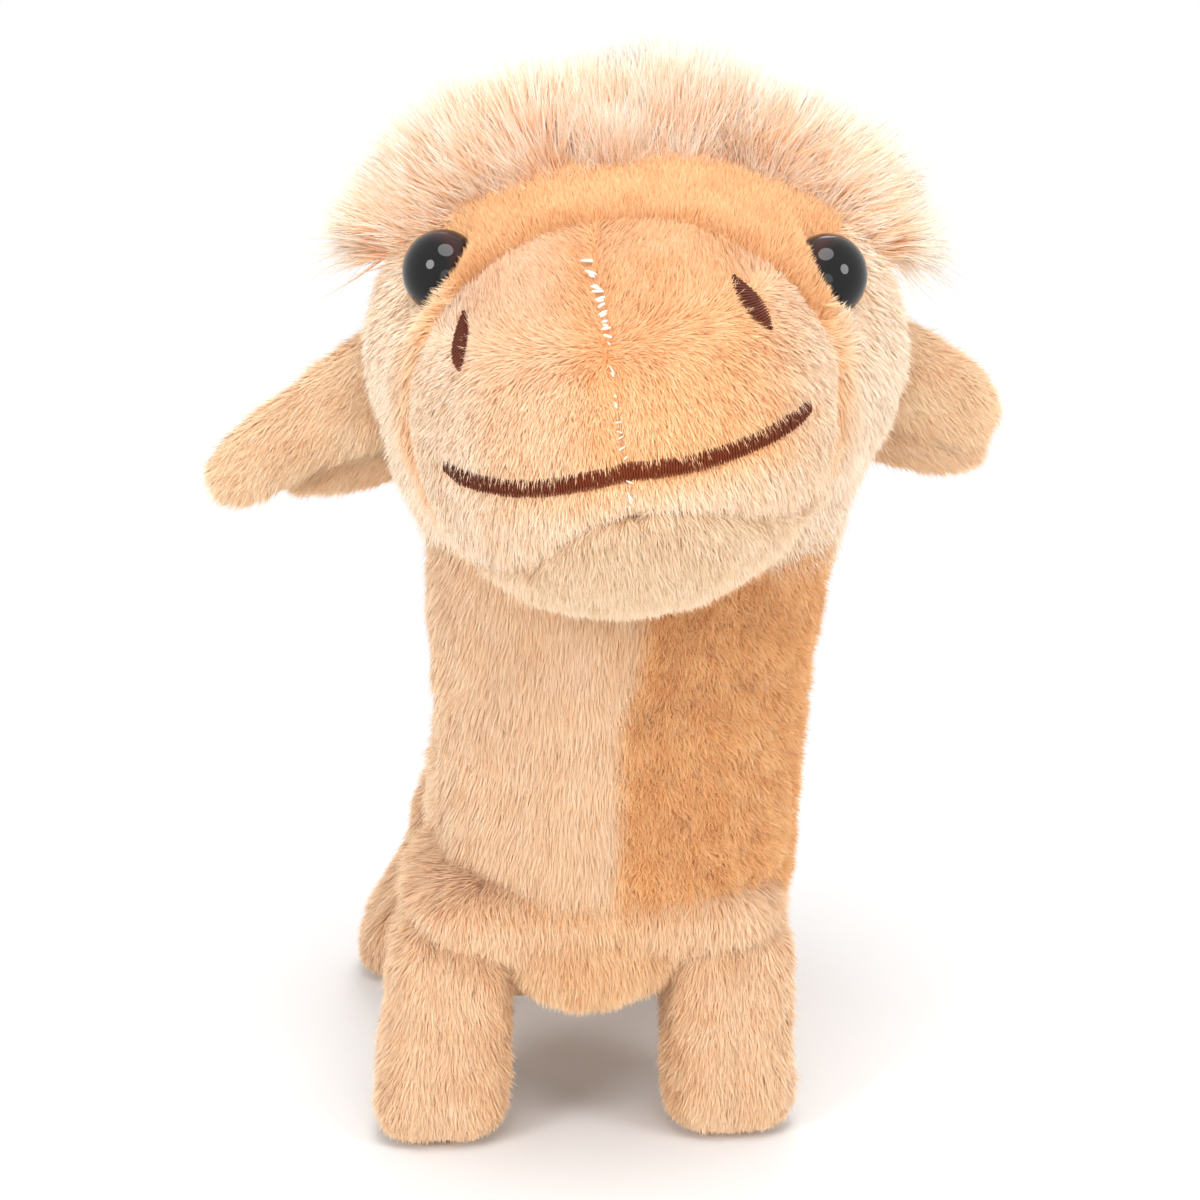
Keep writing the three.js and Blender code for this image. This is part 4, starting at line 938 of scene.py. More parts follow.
brush(head_skin, face_comb,
      lambda p, n: 0.0 if hidden_on_head(p) or forehead(p) or p.z > 86 else 1.0,
      hue=cheek_dye, length=near_eye, frame_mm=HEAD_FRAME)
cheek_pile = pile(head_skin, "cheek_pile", face_pile, 131000, short_fibre, width=0.45, length=4.4,
                  lift=0.32, ruffle=0.22, swirl=0.16, seed=2)
brush(head_skin, brow_comb,
      lambda p, n: 0.0 if hidden_on_head(p) or not forehead(p) else 1.0,
      hue=cheek_dye, length=near_eye, frame_mm=HEAD_FRAME)
forehead_pile = pile(head_skin, "forehead_pile", brow_pile, 56000, short_fibre, width=0.41, length=3.2,
                     lift=0.32, ruffle=0.25, swirl=0.1, seed=3)


def bare_under_thread(p, n):
    """no pile under the satin stitches, in the holes behind, or under the chin"""
    if p.y > 30 or p.z < CHIN_LINE + arch(p) - 0.5:
        return 0.0
    if p.y < 0 and off_line(MOUTH, p.x, p.z) < 1.7:
        return 0.0
    for line in NOSTRILS.values():
        if p.y < 0 and off_line(line[1:3], p.x, p.z) < 2.3:
            return 0.0
    return 1.0


def muzzle_dye(p, n):
    """fairer below the mouth and round to the cheeks"""
    side = 0.8 * ease(-p.x, 20, 42) + 0.8 * ease(p.x, 28, 46) + 0.4 * ease(-p.x, 2, 14)
    return max(0.75 * ease(-p.z, 3, 11), min(0.9, side))


def muzzle_length(p, n):
    seam = min(off_line(NOSE_SEAM, p.x, p.z) / 4, 1.0) if p.y < 0 else 1.0
    return 0.55 + 0.45 * seam + 0.45 * ease(-p.z, 4, 12)


def muzzle_comb(p, n):
    """down the front, and parting sideways and up over the top"""
    up = ease(p.z, 12, 32)
    return Vector((0.25 * p.x / 40 + math.copysign(1.2 * up * (1 - up) + 0.25 * up, p.x), -0.1,
                   -1 + 2 * up))


# painted shade: the muzzle's pile darkens from a third of the way up to near its top, below the mane
brush(muzzle_skin, muzzle_comb, bare_under_thread, hue=muzzle_dye, length=muzzle_length,
      deep=lambda p, n: ease(p.z, 14, 34), frame_mm=SNOUT_FRAME)
muzzle_pile = pile(muzzle_skin, "muzzle_pile", face_pile, 175000, short_fibre, width=0.38, length=2.7,
                   lift=0.3, ruffle=0.25, swirl=0.1, seed=4)
brush(chin_skin, lambda p, n: Vector((0.4 * p.x / 40, 0.2, -1)),
      lambda p, n: 0.0 if p.y > 30 or p.z > CHIN_LINE + arch(p) + 0.5 else 1.0, frame_mm=SNOUT_FRAME)
chin_pile = pile(chin_skin, "chin_pile", cream_pile, 76000, short_fibre, width=0.41, length=4.2,
                 lift=0.32, ruffle=0.25, swirl=0.15, seed=5)

for grown, slot_name in ((forehead_pile, "peach_plush"), (muzzle_pile, "peach_plush"),
                         (chin_pile, "cream_plush")):
    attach(grown, "head")


# %% [markdown]
# ## The neck
#
# The neck is a broad stuffed column in two cloths: the camel's right half is pale and
# brushed down, its left half is a deeper tan with a shorter, curlier pile. They meet
# in a seam down the front.

# %% Neck skin
neck_sections = [(-14, 2, 3, 33, 25), (-7, 2.2, 1.5, 39.5, 30), (0, 2.8, 0, 43.2, 33.4),
                 (6, 3.6, -0.8, 44.6, 35), (12, 4.6, -1, 44.4, 35.2), (24, 4.4, -1, 43.9, 35.2),
                 (36, 3.3, -1, 44.1, 35.2), (48, 2.0, -1, 44.7, 35.2), (60, 0.3, -1, 45.7, 35.2),
                 (72, -0.8, -1, 47.4, 35.2), (86, -1, -1, 48.2, 35.2), (100, -0.5, -1, 48.5, 34.8),
                 (116, 0, -1, 48, 34), (128, 0, -1, 42, 30)]
NECK_BACK = NECK_FRAME.inverted()


def neck_seam(place):
    q = NECK_BACK @ Vector(place)
    return q.y < -20 and abs(q.x) < 2.5 or q.z < -10 or q.z > 120


neck_skin = piece(column(neck_sections, sides=56, squareness=2.7), "neck_skin", pale_cloth, None,
                  NECK_FRAME, rounds=1, swell=1.6, held=neck_seam)
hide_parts("neck_plush")


NECK_HEM = 7


def sewn_neck(p, n):
    if p.y < 0:
        p = tuck(p, n, abs(p.x), 3.5, 1.0)
    if p.y < -20:
        p = tuck(p, n, abs(p.z - NECK_HEM), 4, 1.0)
    return p + n * 0.5 * noise.noise(Vector((p.x * 0.06, p.y * 0.06, p.z * 0.05)))


press(neck_skin, sewn_neck, NECK_FRAME)


def below_seam(p):
    """how far under the seam the neck's cloth runs on, on its two sides"""
    return 7.5 - 11 * ease(-p.x, 20, 34) - 10 * ease(p.x, 34, 44)


def tan_side(p, n):
    return 1.0 if p.x > 0.2 else 0.0


brush(neck_skin, lambda p, n: Vector((0.1, 0.2, -1)),
      lambda p, n: 1.0 if p.x <= 0.2 and below_seam(p) < p.z < 106 else 0.0, hue=tan_side,
      frame_mm=NECK_FRAME)
neck_right_pile = pile(neck_skin, "neck_right_pile", pale_pile, 138000, short_fibre, width=0.44,
                       length=6.0, lift=0.2, ruffle=0.15, swirl=0.16, curl_scale=70, seed=6)
brush(neck_skin, lambda p, n: Vector((0.1, 0.2, -1)),
      lambda p, n: 1.0 if p.x > 0.2 and below_seam(p) - 0.8 < p.z < 106 else 0.0, hue=tan_side,
      frame_mm=NECK_FRAME)
neck_left_pile = pile(neck_skin, "neck_left_pile", pale_pile, 155000, short_fibre, width=0.4, length=3.4,
                      lift=0.4, ruffle=0.4, swirl=0.4, curl_scale=160, seed=7)
for grown in (neck_skin, neck_right_pile, neck_left_pile):
    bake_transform(grown)
for grown in (head_skin, cheek_pile):
    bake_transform(grown)

# %% [markdown]
# ## Body, humps and tail
#
# The trunk lies behind the neck. The chest fills the room between the front legs and
# sags a little between them. The humps and the tail are smaller eggs and columns,
# each with a tuft of long pile.

# %% Chest skin
chest_sections = [(-32.5, -1, 63, 9, 9), (-31, -1, 63, 15, 14), (-27, -1, 62.5, 21, 19),
                  (-19, -1, 62, 26.5, 22), (-8, 0, 61.5, 27.4, 22), (4, 0, 60, 27.4, 21.5),
                  (12, 0, 58, 26, 21)]
chest_skin = piece(column(chest_sections, sides=40, squareness=3, axis="Y"), "chest_skin", pale_cloth,
                   "body", FLOOR_FRAME, rounds=1, swell=1.0)
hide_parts("chest_plush")


def sagging_chest(p, n):
    if p.z < 54:
        p = p + Vector((0, 0, -3.2 * math.exp(-((p.x + 3) / 13) ** 4) * min(1.0, (54 - p.z) / 10)))
    return p


press(chest_skin, sagging_chest)

# %% Shoulders: the body's cloth where it runs down over the tops of the front legs
shoulder_sections = [(-35, 1, 63, 33, 6), (-34, 1, 63, 38.5, 9.5), (-30, 0.5, 62.5, 43.5, 12.5),
                     (-21, 0, 63, 47, 15), (-6, 0, 64, 48, 17), (6, 0.5, 65, 47, 18), (16, 0, 66, 42, 18)]
shoulder_skin = piece(column(shoulder_sections, sides=56, squareness=2.8, axis="Y"), "shoulder_skin",
                      pale_cloth, "body", FLOOR_FRAME, rounds=1, swell=1.4)
press(shoulder_skin, lambda p, n: p + Vector((0, 0.35 * max(0.0, 66 - p.z) * ease(-10 - p.y, 0, 12), 0)))

# %% Trunk skin
TRUNK_START, TRUNK_REAR = 8.4, 131.0
trunk_shares = [(0, 0.9), (0.065, 0.96), (0.2, 1), (0.38, 1), (0.58, 1), (0.75, 0.98), (0.86, 0.88),
                (0.935, 0.70), (0.98, 0.46), (1.0, 0.24)]
trunk_sections = [(TRUNK_START + along * (TRUNK_REAR - TRUNK_START), 0, 65.5, 40.5 * share, 41.5 * share)
                  for along, share in trunk_shares]
trunk_skin = piece(column(trunk_sections, sides=56, squareness=2.6, axis="Y"), "trunk_skin", pale_cloth,
                   "body", FLOOR_FRAME, rounds=1, swell=2.0)
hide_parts("trunk_plush")


# %% Humps and their tufts
TUFT_WARMTH = 0.35


def hump(name, y, size):
    half = Vector((25, 19.8, 33)) * size
    bm = egg(half, fineness=4)
    bmesh.ops.translate(bm, vec=(0, y, 103), verts=bm.verts)
    skin = piece(bm, name + "_skin", peach_cloth, "body", FLOOR_FRAME, swell=0.8)
    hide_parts(name)
    brush(skin, lambda p, n: Vector((0.2 * p.x / 20, 0.1, -1)),
          lambda p, n: 1.0 if p.z > 98 else 0.0)
    grown = pile(skin, name + "_pile", peach_pile, 34000, short_fibre, width=0.46, length=4.0, lift=0.3,
                 ruffle=0.25, swirl=0.15, seed=11)
    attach(grown, "body")
    cap = egg(Vector((14.5, 13.5, 12.5)) * size, fineness=4)
    bmesh.ops.translate(cap, vec=(0, y, 107 + 24 * size), verts=cap.verts)
    tuft = piece(cap, name + "_tuft_skin", root_cloth, "body", FLOOR_FRAME, swell=0.6)
    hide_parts(name + "_tuft")
    brush(tuft, lambda p, n: Vector((p.x * 0.04, (p.y - y) * 0.04, 0.6)),
          lambda p, n: 1.0 if n.z > -0.2 else 0.0, hue=lambda p, n: TUFT_WARMTH)
    hair = pile(tuft, name + "_tuft_pile", mane_pile, 9500, long_fibre, width=0.6, length=9.0, lift=0.75,
                ruffle=0.3, swirl=0.3, seed=12)
    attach(hair, "body")


hump("front_hump", 58.95, 1.0)
hump("rear_hump", 99.98, 0.92)

# %% Tail
tail_sections = [(50, 0, 138, 3.4, 3.4), (54, 0, 138, 4.3, 4.3), (66, 0, 136.2, 5.0, 5.0),
                 (78, 0, 132, 5.4, 5.4), (86, 0, 123, 4.6, 4.6), (89, 0, 116, 3.0, 3.0)]
tail_skin = piece(column(tail_sections, sides=20, squareness=2.0), "tail_skin", pale_cloth, "body",
                  FLOOR_FRAME, rounds=1, swell=0.5)
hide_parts("tail")
tuft_bm = egg(Vector((6.2, 6.2, 12)), fineness=4)
bmesh.ops.translate(tuft_bm, vec=(0, 138.5, 45), verts=tuft_bm.verts)
tail_tuft_skin = piece(tuft_bm, "tail_tuft_skin", root_cloth, "body", FLOOR_FRAME, swell=0.4)
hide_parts("tail_tuft")

# %% Pile of the chest, the trunk and the tail
# painted shade: the chest between the front legs takes half the deeper tan
brush(chest_skin, lambda p, n: Vector((0, 0.3, -1)),
      lambda p, n: 1.0 if p.y < 9 and 30 < p.z < 64 else 0.0, hue=lambda p, n: 0.5)
chest_pile = pile(chest_skin, "chest_pile", pale_pile, 42000, short_fibre, width=0.42, length=5.0,
                  lift=0.32, ruffle=0.25, swirl=0.25, seed=21)
# painted shade: the shoulders' front takes up to about half the deeper tan in the middle, between the
# front legs
brush(shoulder_skin, lambda p, n: Vector((0, 0.1, -1)), lambda p, n: 1.0 if p.y < 15 else 0.0,
      hue=lambda p, n: 0.45 * math.exp(-(p.x / 22) ** 2) * ease(-p.y, 10, 25))
shoulder_pile = pile(shoulder_skin, "shoulder_pile", pale_pile, 80000, short_fibre, width=0.46,
                     length=5.0, lift=0.3, ruffle=0.22, swirl=0.22, seed=25)
brush(trunk_skin, lambda p, n: Vector((0, 0.55, -1)),
      lambda p, n: 1.0 if p.y > 6 else 0.0)
trunk_pile = pile(trunk_skin, "trunk_pile", pale_pile, 130000, short_fibre, width=0.6, length=5.2,
                  lift=0.28, ruffle=0.22, swirl=0.2, seed=22)
brush(tail_skin, lambda p, n: Vector((0, 0.2, -1)))
tail_pile = pile(tail_skin, "tail_pile", pale_pile, 14000, short_fibre, width=0.42, length=4.0, lift=0.35,
                 ruffle=0.25, swirl=0.2, seed=23)
brush(tail_tuft_skin, lambda p, n: Vector((0, 0.15, -1)), hue=lambda p, n: TUFT_WARMTH)
tail_tuft_pile = pile(tail_tuft_skin, "tail_tuft_pile", mane_pile, 4800, long_fibre, width=0.6,
                      length=10.0, lift=0.3, ruffle=0.2, swirl=0.2, seed=24)
for grown, slot_name in ((chest_pile, "pale_plush"), (shoulder_pile, "pale_plush"),
                         (trunk_pile, "pale_plush"), (tail_pile, "pale_plush"),
                         (tail_tuft_pile, "long_pile")):
    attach(grown, "body")

# %% [markdown]
# ## Legs
#
# A leg is a soft column on a stiff frame. Its top is round about the hip, so that it
# can swing inside the body's cloth without opening a gap.

# %% Four legs and their soles
HIP_HEIGHT = 48.0
HIPS = {"front": -12.0, "hind": 98.0}
# (height, middle across, half across, half deep): each leg spreads a little differently
LEG_SHAPES = {
    ("left", "front"): [(1.2, 35.3, 9.6, 9.4), (2.4, 35.3, 12.6, 12.4), (4.4, 35.3, 15.2, 14.8),
                        (9, 35.3, 15.6, 15.8), (20, 35.1, 14.8, 16.2), (32, 34.8, 14.6, 16.6),
                        (40, 34.6, 14.8, 17.8), (48, 34.4, 15.2, 19.4)],
    ("right", "front"): [(1.2, -40.2, 9.6, 9.4), (2.4, -40.2, 12.6, 12.4), (4.4, -40.2, 15.0, 14.6),
                         (9, -40.1, 15.8, 15.9), (20, -39.2, 15.2, 16.2), (32, -38.0, 14.4, 16.6),
                         (40, -37.2, 14.2, 17.8), (48, -36.6, 14.4, 19.4)],
    ("left", "hind"): [(1.2, 39.8, 11.5, 10.5), (2.4, 39.8, 14.8, 13.6), (4.4, 39.8, 17.2, 15.6),
                       (9, 39.6, 17.8, 16.6), (20, 38.4, 16.4, 16.2), (32, 36.0, 14.6, 16.0),
                       (40, 34.5, 13.8, 16.4), (48, 33.4, 13.4, 17.2)],
    ("right", "hind"): [(1.2, -43.8, 13.5, 10.5), (2.4, -43.8, 17.0, 13.6), (4.4, -43.8, 19.8, 15.6),
                        (9, -43.6, 20.4, 16.8), (20, -41.6, 18.8, 16.2), (32, -37.2, 15.4, 16.0),
                        (40, -34.5, 13.8, 16.4), (48, -33.2, 13.2, 17.2)],
}
LEG_FIBRES = {"front": 62000, "hind": 42000}
FOOT_RIM = 5.5


def leg_form(hand, end, hip_y):
    shape = LEG_SHAPES[(hand, end)]
    _, middle, half_u, half_v = shape[-1]
    thigh = [(HIP_HEIGHT + half_v * math.sin(a), middle, half_u * math.cos(a), half_v * math.cos(a))
             for a in (math.radians(d) for d in (20, 40, 58, 74, 84))]
    return column([(z, x, hip_y, u, v) for z, x, u, v in shape + thigh], sides=36, squareness=3.4)


def sewn_leg(x, hip_y):
    """the seam down the middle of a leg's front"""
    def move(p, n):
        return tuck(p, n, abs(p.x - x), 2.6, 0.9) if p.y < hip_y and p.z > 5 else p
    return move


for end, hip_y in HIPS.items():
    for hand in ("left", "right"):
        name = f"{hand}_{end}_leg"
        x = LEG_SHAPES[(hand, end)][1][1]
        leg_skin = piece(leg_form(hand, end, hip_y), name + "_skin", pale_cloth, name, FLOOR_FRAME,
                         rounds=1, swell=1.0, held=lambda q: q.z < FOOT_RIM)
        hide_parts(name + "_plush")
        press(leg_skin, sewn_leg(x, hip_y))
        # painted shade: each leg's inner side, towards the other legs, takes more of the deeper tan; the
        # small share all over is the leg's own colour
        brush(leg_skin, lambda p, n: Vector((0, 0.1, -1)), lambda p, n: 1.0 if p.z > 2.6 else 0.0,
              hue=lambda p, n: 0.08 + 0.3 * ease(math.copysign(1, -x) * n.x, 0.0, 0.9),
              length=lambda p, n: min(1.0, 0.3 + p.z / 20))
        leg_pile = pile(leg_skin, name + "_pile", pale_pile, LEG_FIBRES[end], short_fibre,
                        width=0.44, length=4.8, lift=0.28, ruffle=0.22, swirl=0.22, seed=31)
        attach(leg_pile, name)
        sole = piece(column([(0.3, x, hip_y, 8.6, 8.6), (0.5, x, hip_y, 9.8, 9.8),
                             (1.4, x, hip_y, 10.8, 10.8), (2.6, x, hip_y, 10.6, 10.6),
                             (3.2, x, hip_y, 9.8, 9.8)], sides=36, squareness=2.4),
                     name + "_sole_skin", sole_felt, name, FLOOR_FRAME, rounds=1)
        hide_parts(f"{hand}_{end}_sole")
        print(name, "is dressed")

# %% [markdown]
# ## Mane
#
# The mane is a long pile that stands up in an arch from ear to ear. Its skin is the
# top of an egg. Two piles grow on it, a lower one that leans and an upper one that
# stands, because one length alone would look clipped.

# %% Mane skin and its long pile
MANE_MIDDLE = Vector((2.0, 6.0, 50.0))
mane_bm = egg(Vector((67.0, 25.0, 50.0)), fineness=5)
bmesh.ops.translate(mane_bm, vec=MANE_MIDDLE, verts=mane_bm.verts)
geom = list(mane_bm.verts) + list(mane_bm.edges) + list(mane_bm.faces)
bmesh.ops.bisect_plane(mane_bm, geom=geom, plane_co=(0, 0, 64), plane_no=(0, 0, 1), clear_inner=True)
bmesh.ops.holes_fill(mane_bm, edges=[e for e in mane_bm.edges if e.is_boundary], sides=0)
mane_skin = piece(mane_bm, "mane_skin", root_cloth, "head", HEAD_FRAME, rounds=1, swell=1.0,
                  held=lambda q: q.z < HEAD_JOINT.z + 67)
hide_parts("mane")


def mane_comb(p, n):
    """up and outwards like a fan, drooping beyond the ends of the arch"""
    out = p.x / 62
    return Vector((1.15 * out * abs(out) ** 0.4, 0.25, 1.1 - 1.0 * abs(out) ** 2.4))


def mane_length(p, n):
    front = 1.0 if p.y < 8 else 0.8
    return front * (1.0 + 0.35 * noise.noise(Vector((p.x * 0.045, p.y * 0.03, p.z * 0.03))))


def mane_root_shade(p, n):
    """painted shade: a warm tan where the hair leaves the seam, pale above, and fainter at the back"""
    above = depth_in_egg(Vector(p) - SKULL_MIDDLE, SKULL_HALF) - 1
    return (1 - ease(above * SKULL_HALF.z, 0.4, 2.7)) * (1 - 0.5 * ease(p.y, 6, 18))


brush(mane_skin, mane_comb, lambda p, n: 1.0 if n.z > -0.3 else 0.0, hue=mane_root_shade, length=mane_length,
      frame_mm=HEAD_FRAME)
for number, (count, lift, length) in enumerate(((64000, 0.42, 19.5), (58000, 0.62, 17.5))):
    mane_hair = pile(mane_skin, "mane_hair" if number == 0 else "mane_top_hair", mane_pile, count,
                     long_fibre, width=0.44, length=length, lift=lift, ruffle=0.16, swirl=0.34,
                     curl_scale=85, seed=41 + number)
    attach(mane_hair, "head")

# %% [markdown]
# ## Eyes
#
# The eyes are black domes of hard, clear-coated plastic on a stem. Towards the rim their
# colour turns a dark red brown. Each one is a ball whose back is flattened against the cloth.


# %% Eye finish and the two domes
eye_gloss, e_nodes, e_links = material("eye_gloss")
e_shader = e_nodes["Principled BSDF"]
e_rim = e_nodes.new("ShaderNodeAttribute")
e_rim.attribute_name = "rim"
e_place = e_nodes.new("ShaderNodeTexCoord")
e_cloud = noise_node(e_nodes, e_links, e_place, scale=400, detail=2)
e_level = math_node(e_nodes, e_links, "ADD", e_rim.outputs["Fac"],
                    math_node(e_nodes, e_links, "MULTIPLY", e_cloud.outputs["Fac"], 0.12))
e_colour = ramp(e_nodes, [(0.45, (0.004, 0.004, 0.005)), (0.8, (0.045, 0.012, 0.010)),
                          (1.0, (0.02, 0.008, 0.008))])
e_links.new(e_level, e_colour.inputs["Fac"])
e_links.new(e_colour.outputs["Color"], e_shader.inputs["Base Color"])
e_shader.inputs["Roughness"].default_value = 0.3
e_shader.inputs["Specular IOR Level"].default_value = 0.0
e_shader.inputs["Coat Weight"].default_value = 1.0
e_shader.inputs["Coat IOR"].default_value = 1.4
e_shader.inputs["Coat Roughness"].default_value = 0.02

for hand, spot in EYE_SPOTS.items():
    look = Vector((spot.x, spot.y - 6, 4)).normalized()
    bm = bmesh.new()
    bmesh.ops.create_uvsphere(bm, u_segments=48, v_segments=24, radius=1.0)
    rim = bm.verts.layers.float.new("rim")
    for v in bm.verts:
        v[rim] = 1 - max(0.0, v.co.z)
    bmesh.ops.scale(bm, vec=(EYE_RADIUS, EYE_RADIUS, EYE_RADIUS * 0.94), verts=bm.verts)
    back = [v for v in bm.verts if v.co.z < -3]
    bmesh.ops.scale(bm, vec=(1, 1, 0.5), space=Matrix.Translation((0, 0, 3)), verts=back)
    turned = look.to_track_quat("Z", "Y").to_matrix().to_4x4()
    bmesh.ops.transform(bm, matrix=Matrix.Translation(spot) @ turned, verts=bm.verts)
    eye = piece(bm, hand + "_eye_dome", eye_gloss, "head", HEAD_FRAME)
    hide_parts(hand + "_eye")
    print(hand, "eye:", len(eye.data.polygons), "faces")

# %% [markdown]
# ## Ears
#
# An ear is a drooping leaf of plush: a long flap over a shorter one that is folded behind
# it, whose pile is painted darker near the root as the shade under the flap. Each flap is a
# flat column laid from its root to its tip.


# %% Flaps of the ears
def flap(root, tip, sections, thick, turn=0.0):
    """sections: (share of the length, half width, how far the middle sits to one side)"""
    way = Vector(tip) - Vector(root)
    bm = column([(share * way.length, side, 0, half, thick * max(0.35, half / 14))
                 for share, half, side in sections], sides=28, squareness=2.2)
    frame_to = way.to_track_quat("Z", "X").to_matrix().to_4x4()
    bmesh.ops.transform(bm, matrix=Matrix.Translation(root) @ frame_to @ Matrix.Rotation(turn, 4, "Z"),
                        verts=bm.verts)
    return bm


EARS = {
    "right": {"root": (-47, 11, 39), "tip": (-105, 7, 7),
              "flap": [(0, 17.5, 0), (0.12, 16.4, 0), (0.3, 13.4, 0.5), (0.5, 11.4, 1), (0.7, 9.8, 1),
                       (0.85, 8.6, 0.6), (0.94, 6.8, 0.2), (0.985, 4.4, 0), (1.0, 2.2, 0)],
              "fold_root": (-50, 15, 22), "fold_tip": (-86, 13, 7),
              "fold": [(0, 9, 0), (0.2, 10, 0), (0.5, 8.4, 0), (0.8, 5.6, 0), (0.95, 3.4, 0),
                       (1.0, 1.6, 0)]},
    "left": {"root": (50, 11, 42), "tip": (91.5, 8, 21),
             "flap": [(0, 16.5, 0), (0.15, 15, 0), (0.4, 12.6, 0), (0.65, 11.6, 0), (0.85, 10.2, 0),
                      (0.95, 7.6, 0), (1.0, 3.6, 0)],
             "fold_root": (52, 13, 25), "fold_tip": (90, 10, 14.5),
             "fold": [(0, 9, 0), (0.25, 10.2, 0), (0.55, 9.8, 0), (0.8, 8.6, 0), (0.94, 6.0, 0),
                      (1.0, 3.0, 0)]},
}
for hand, shape in EARS.items():
    for part, thick, deep in (("flap", 4.2, 0.0), ("fold", 3.4, 0.55)):
        root = shape["root" if part == "flap" else "fold_root"]
        tip = shape["tip" if part == "flap" else "fold_tip"]
        ear_skin = piece(flap(root, tip, shape[part], thick), f"{hand}_ear_{part}", pale_cloth, "head",
                         HEAD_FRAME, rounds=2, swell=0.8)
        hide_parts(hand + "_ear")
        down = (Vector(tip) - Vector(root)).normalized()
        # painted shade: the fold's pile darkens near the root, under the flap
        brush(ear_skin, lambda p, n: down + Vector((0, 0, -0.5)), lambda p, n: 1.0,
              hue=lambda p, n: deep * (1 - ease((p - Vector(root)).dot(down), 20, 50)),
              frame_mm=HEAD_FRAME)
        ear_pile = pile(ear_skin, f"{hand}_ear_{part}_pile", ear_pile_dye,
                        34000 if part == "flap" else 20000, short_fibre, width=0.42, length=4.2, lift=0.3,
                        ruffle=0.22, swirl=0.2, seed=51)
        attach(ear_pile, "head")

# %% [markdown]
# ## Stitches
#
# The mouth and the nostrils are satin stitch: brown threads laid side by side across a
# narrow band or a leaf. The nose seam shows a few white loops of its thread. A thread
# is one slim ball, stretched, and laid on the cloth by looking for the surface below.

# %% Thread finishes


def thread_finish(name, dark, light):
    mat, nodes, links = material(name)
    shader = nodes["Principled BSDF"]
    place = nodes.new("ShaderNodeTexCoord")
    twist = noise_node(nodes, links, place, scale=2600, detail=2)
    tone = nodes.new("ShaderNodeAttribute")
    tone.attribute_name = "tone"
    level = math_node(nodes, links, "ADD", math_node(nodes, links, "MULTIPLY", tone.outputs["Fac"], 0.6),
                      math_node(nodes, links, "MULTIPLY", twist.outputs["Fac"], 0.4))
    colour = ramp(nodes, [(0.15, dark), (0.85, light)])
    links.new(level, colour.inputs["Fac"])
    links.new(colour.outputs["Color"], shader.inputs["Base Color"])
    bump = nodes.new("ShaderNodeBump")
    bump.inputs["Strength"].default_value = 0.4
    bump.inputs["Distance"].default_value = 0.0002
    links.new(twist.outputs["Fac"], bump.inputs["Height"])
    links.new(bump.outputs[0], shader.inputs["Normal"])
    shader.inputs["Roughness"].default_value = 0.5
    shader.inputs["Specular IOR Level"].default_value = 0.25
    return mat


brown_thread = thread_finish("brown_thread", rgb(32, 8, 0), rgb(118, 47, 14))
white_thread = thread_finish("white_thread", rgb(236, 222, 204), rgb(255, 250, 240))

# %% Threads laid on the muzzle
muzzle_tree = BVHTree.FromObject(muzzle_skin, bpy.context.evaluated_depsgraph_get())
SNOUT_TO_METRES = Matrix.Scale(MM, 4) @ SNOUT_FRAME


def on_snout(x, z):
    """the point of the sewn muzzle at x, z of the snout's front, and its normal, in metres"""
    y = -SNOUT_HALF.y * math.sqrt(max(0.02, 1 - (x / SNOUT_HALF.x) ** 2 - (z / SNOUT_HALF.z) ** 2))
    out = Vector((x / SNOUT_HALF.x ** 2, y / SNOUT_HALF.y ** 2, z / SNOUT_HALF.z ** 2)).normalized()
    start = SNOUT_TO_METRES @ (Vector((x, y, z)) + out * 12)
    aim = (SNOUT_FRAME.to_3x3() @ -out).normalized()
    hit, normal, _, _ = muzzle_tree.ray_cast(start, aim)
    return (hit, -aim) if hit else (SNOUT_TO_METRES @ Vector((x, y, z)), -aim)


def lay_thread(bm, middle, across, out, half, thick, tone_layer, tone):
    """one thread, in metres, its middle lifted off the cloth"""
    third = across.cross(out).normalized()
    turn = Matrix((across.normalized(), third, out)).transposed().to_4x4()
    size = Matrix.Diagonal((half * MM, thick * MM, thick * 1.25 * MM, 1))
    side = Matrix.Rotation(math.radians(90), 4, "Y")
    made = bmesh.ops.create_uvsphere(bm, u_segments=6, v_segments=6, radius=1.0,
                                     matrix=Matrix.Translation(middle) @ turn @ size @ side)["verts"]
    for v in made:
        v[tone_layer] = tone


def stitched(name, line, pitch, half_width, thick, raise_mm, finish, slant=0.0, wobble=0.06, drift=0.0,
             vary=0.05):
    """threads across a line on the muzzle; half_width(share) is half a thread's length"""
    bm = bmesh.new()
    tone_layer = bm.verts.layers.float.new("tone")
    total = sum(math.dist(a, b) for a, b in zip(line, line[1:]))
    count = max(2, round(total * 1.15 / pitch))
    for i in range(count):
        share = (i + 0.5 + drift * math.sin(i * 4.1)) / count
        place, way = along_line(line, share)
        here, out = on_snout(place.x, place.y)
        ahead, _ = on_snout(place.x + way.x * 0.6, place.y + way.y * 0.6)
        run = (ahead - here).normalized()
        across = (out.cross(run) + run * (slant + wobble * math.sin(i * 12.9898))).normalized()
        half = half_width(share) * (1 + vary * math.sin(i * 78.233))
        if half > 0.25:
            lay_thread(bm, here + out * raise_mm * MM, across, out, half, thick, tone_layer,
                       0.5 + 0.5 * math.sin(i * 37.719))
    mesh = bpy.data.meshes.new(name)
    bm.to_mesh(mesh)
    bm.free()
    obj = bpy.data.objects.new(name, mesh)
    bpy.context.scene.collection.objects.link(obj)
    obj.data.materials.append(finish)
    obj.data.shade_smooth()
    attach(obj, "head")
    print(name, "has", count, "threads")
    return obj


def mouth_width(share):
    return 2.15 * min(1.0, 0.72 + 6 * share, 0.72 + 6 * (1 - share))


SATIN_PITCH, SATIN_THICK = 0.66, 0.34
NOSTRIL_HALF = {"right": 3.0, "left": 4.0}


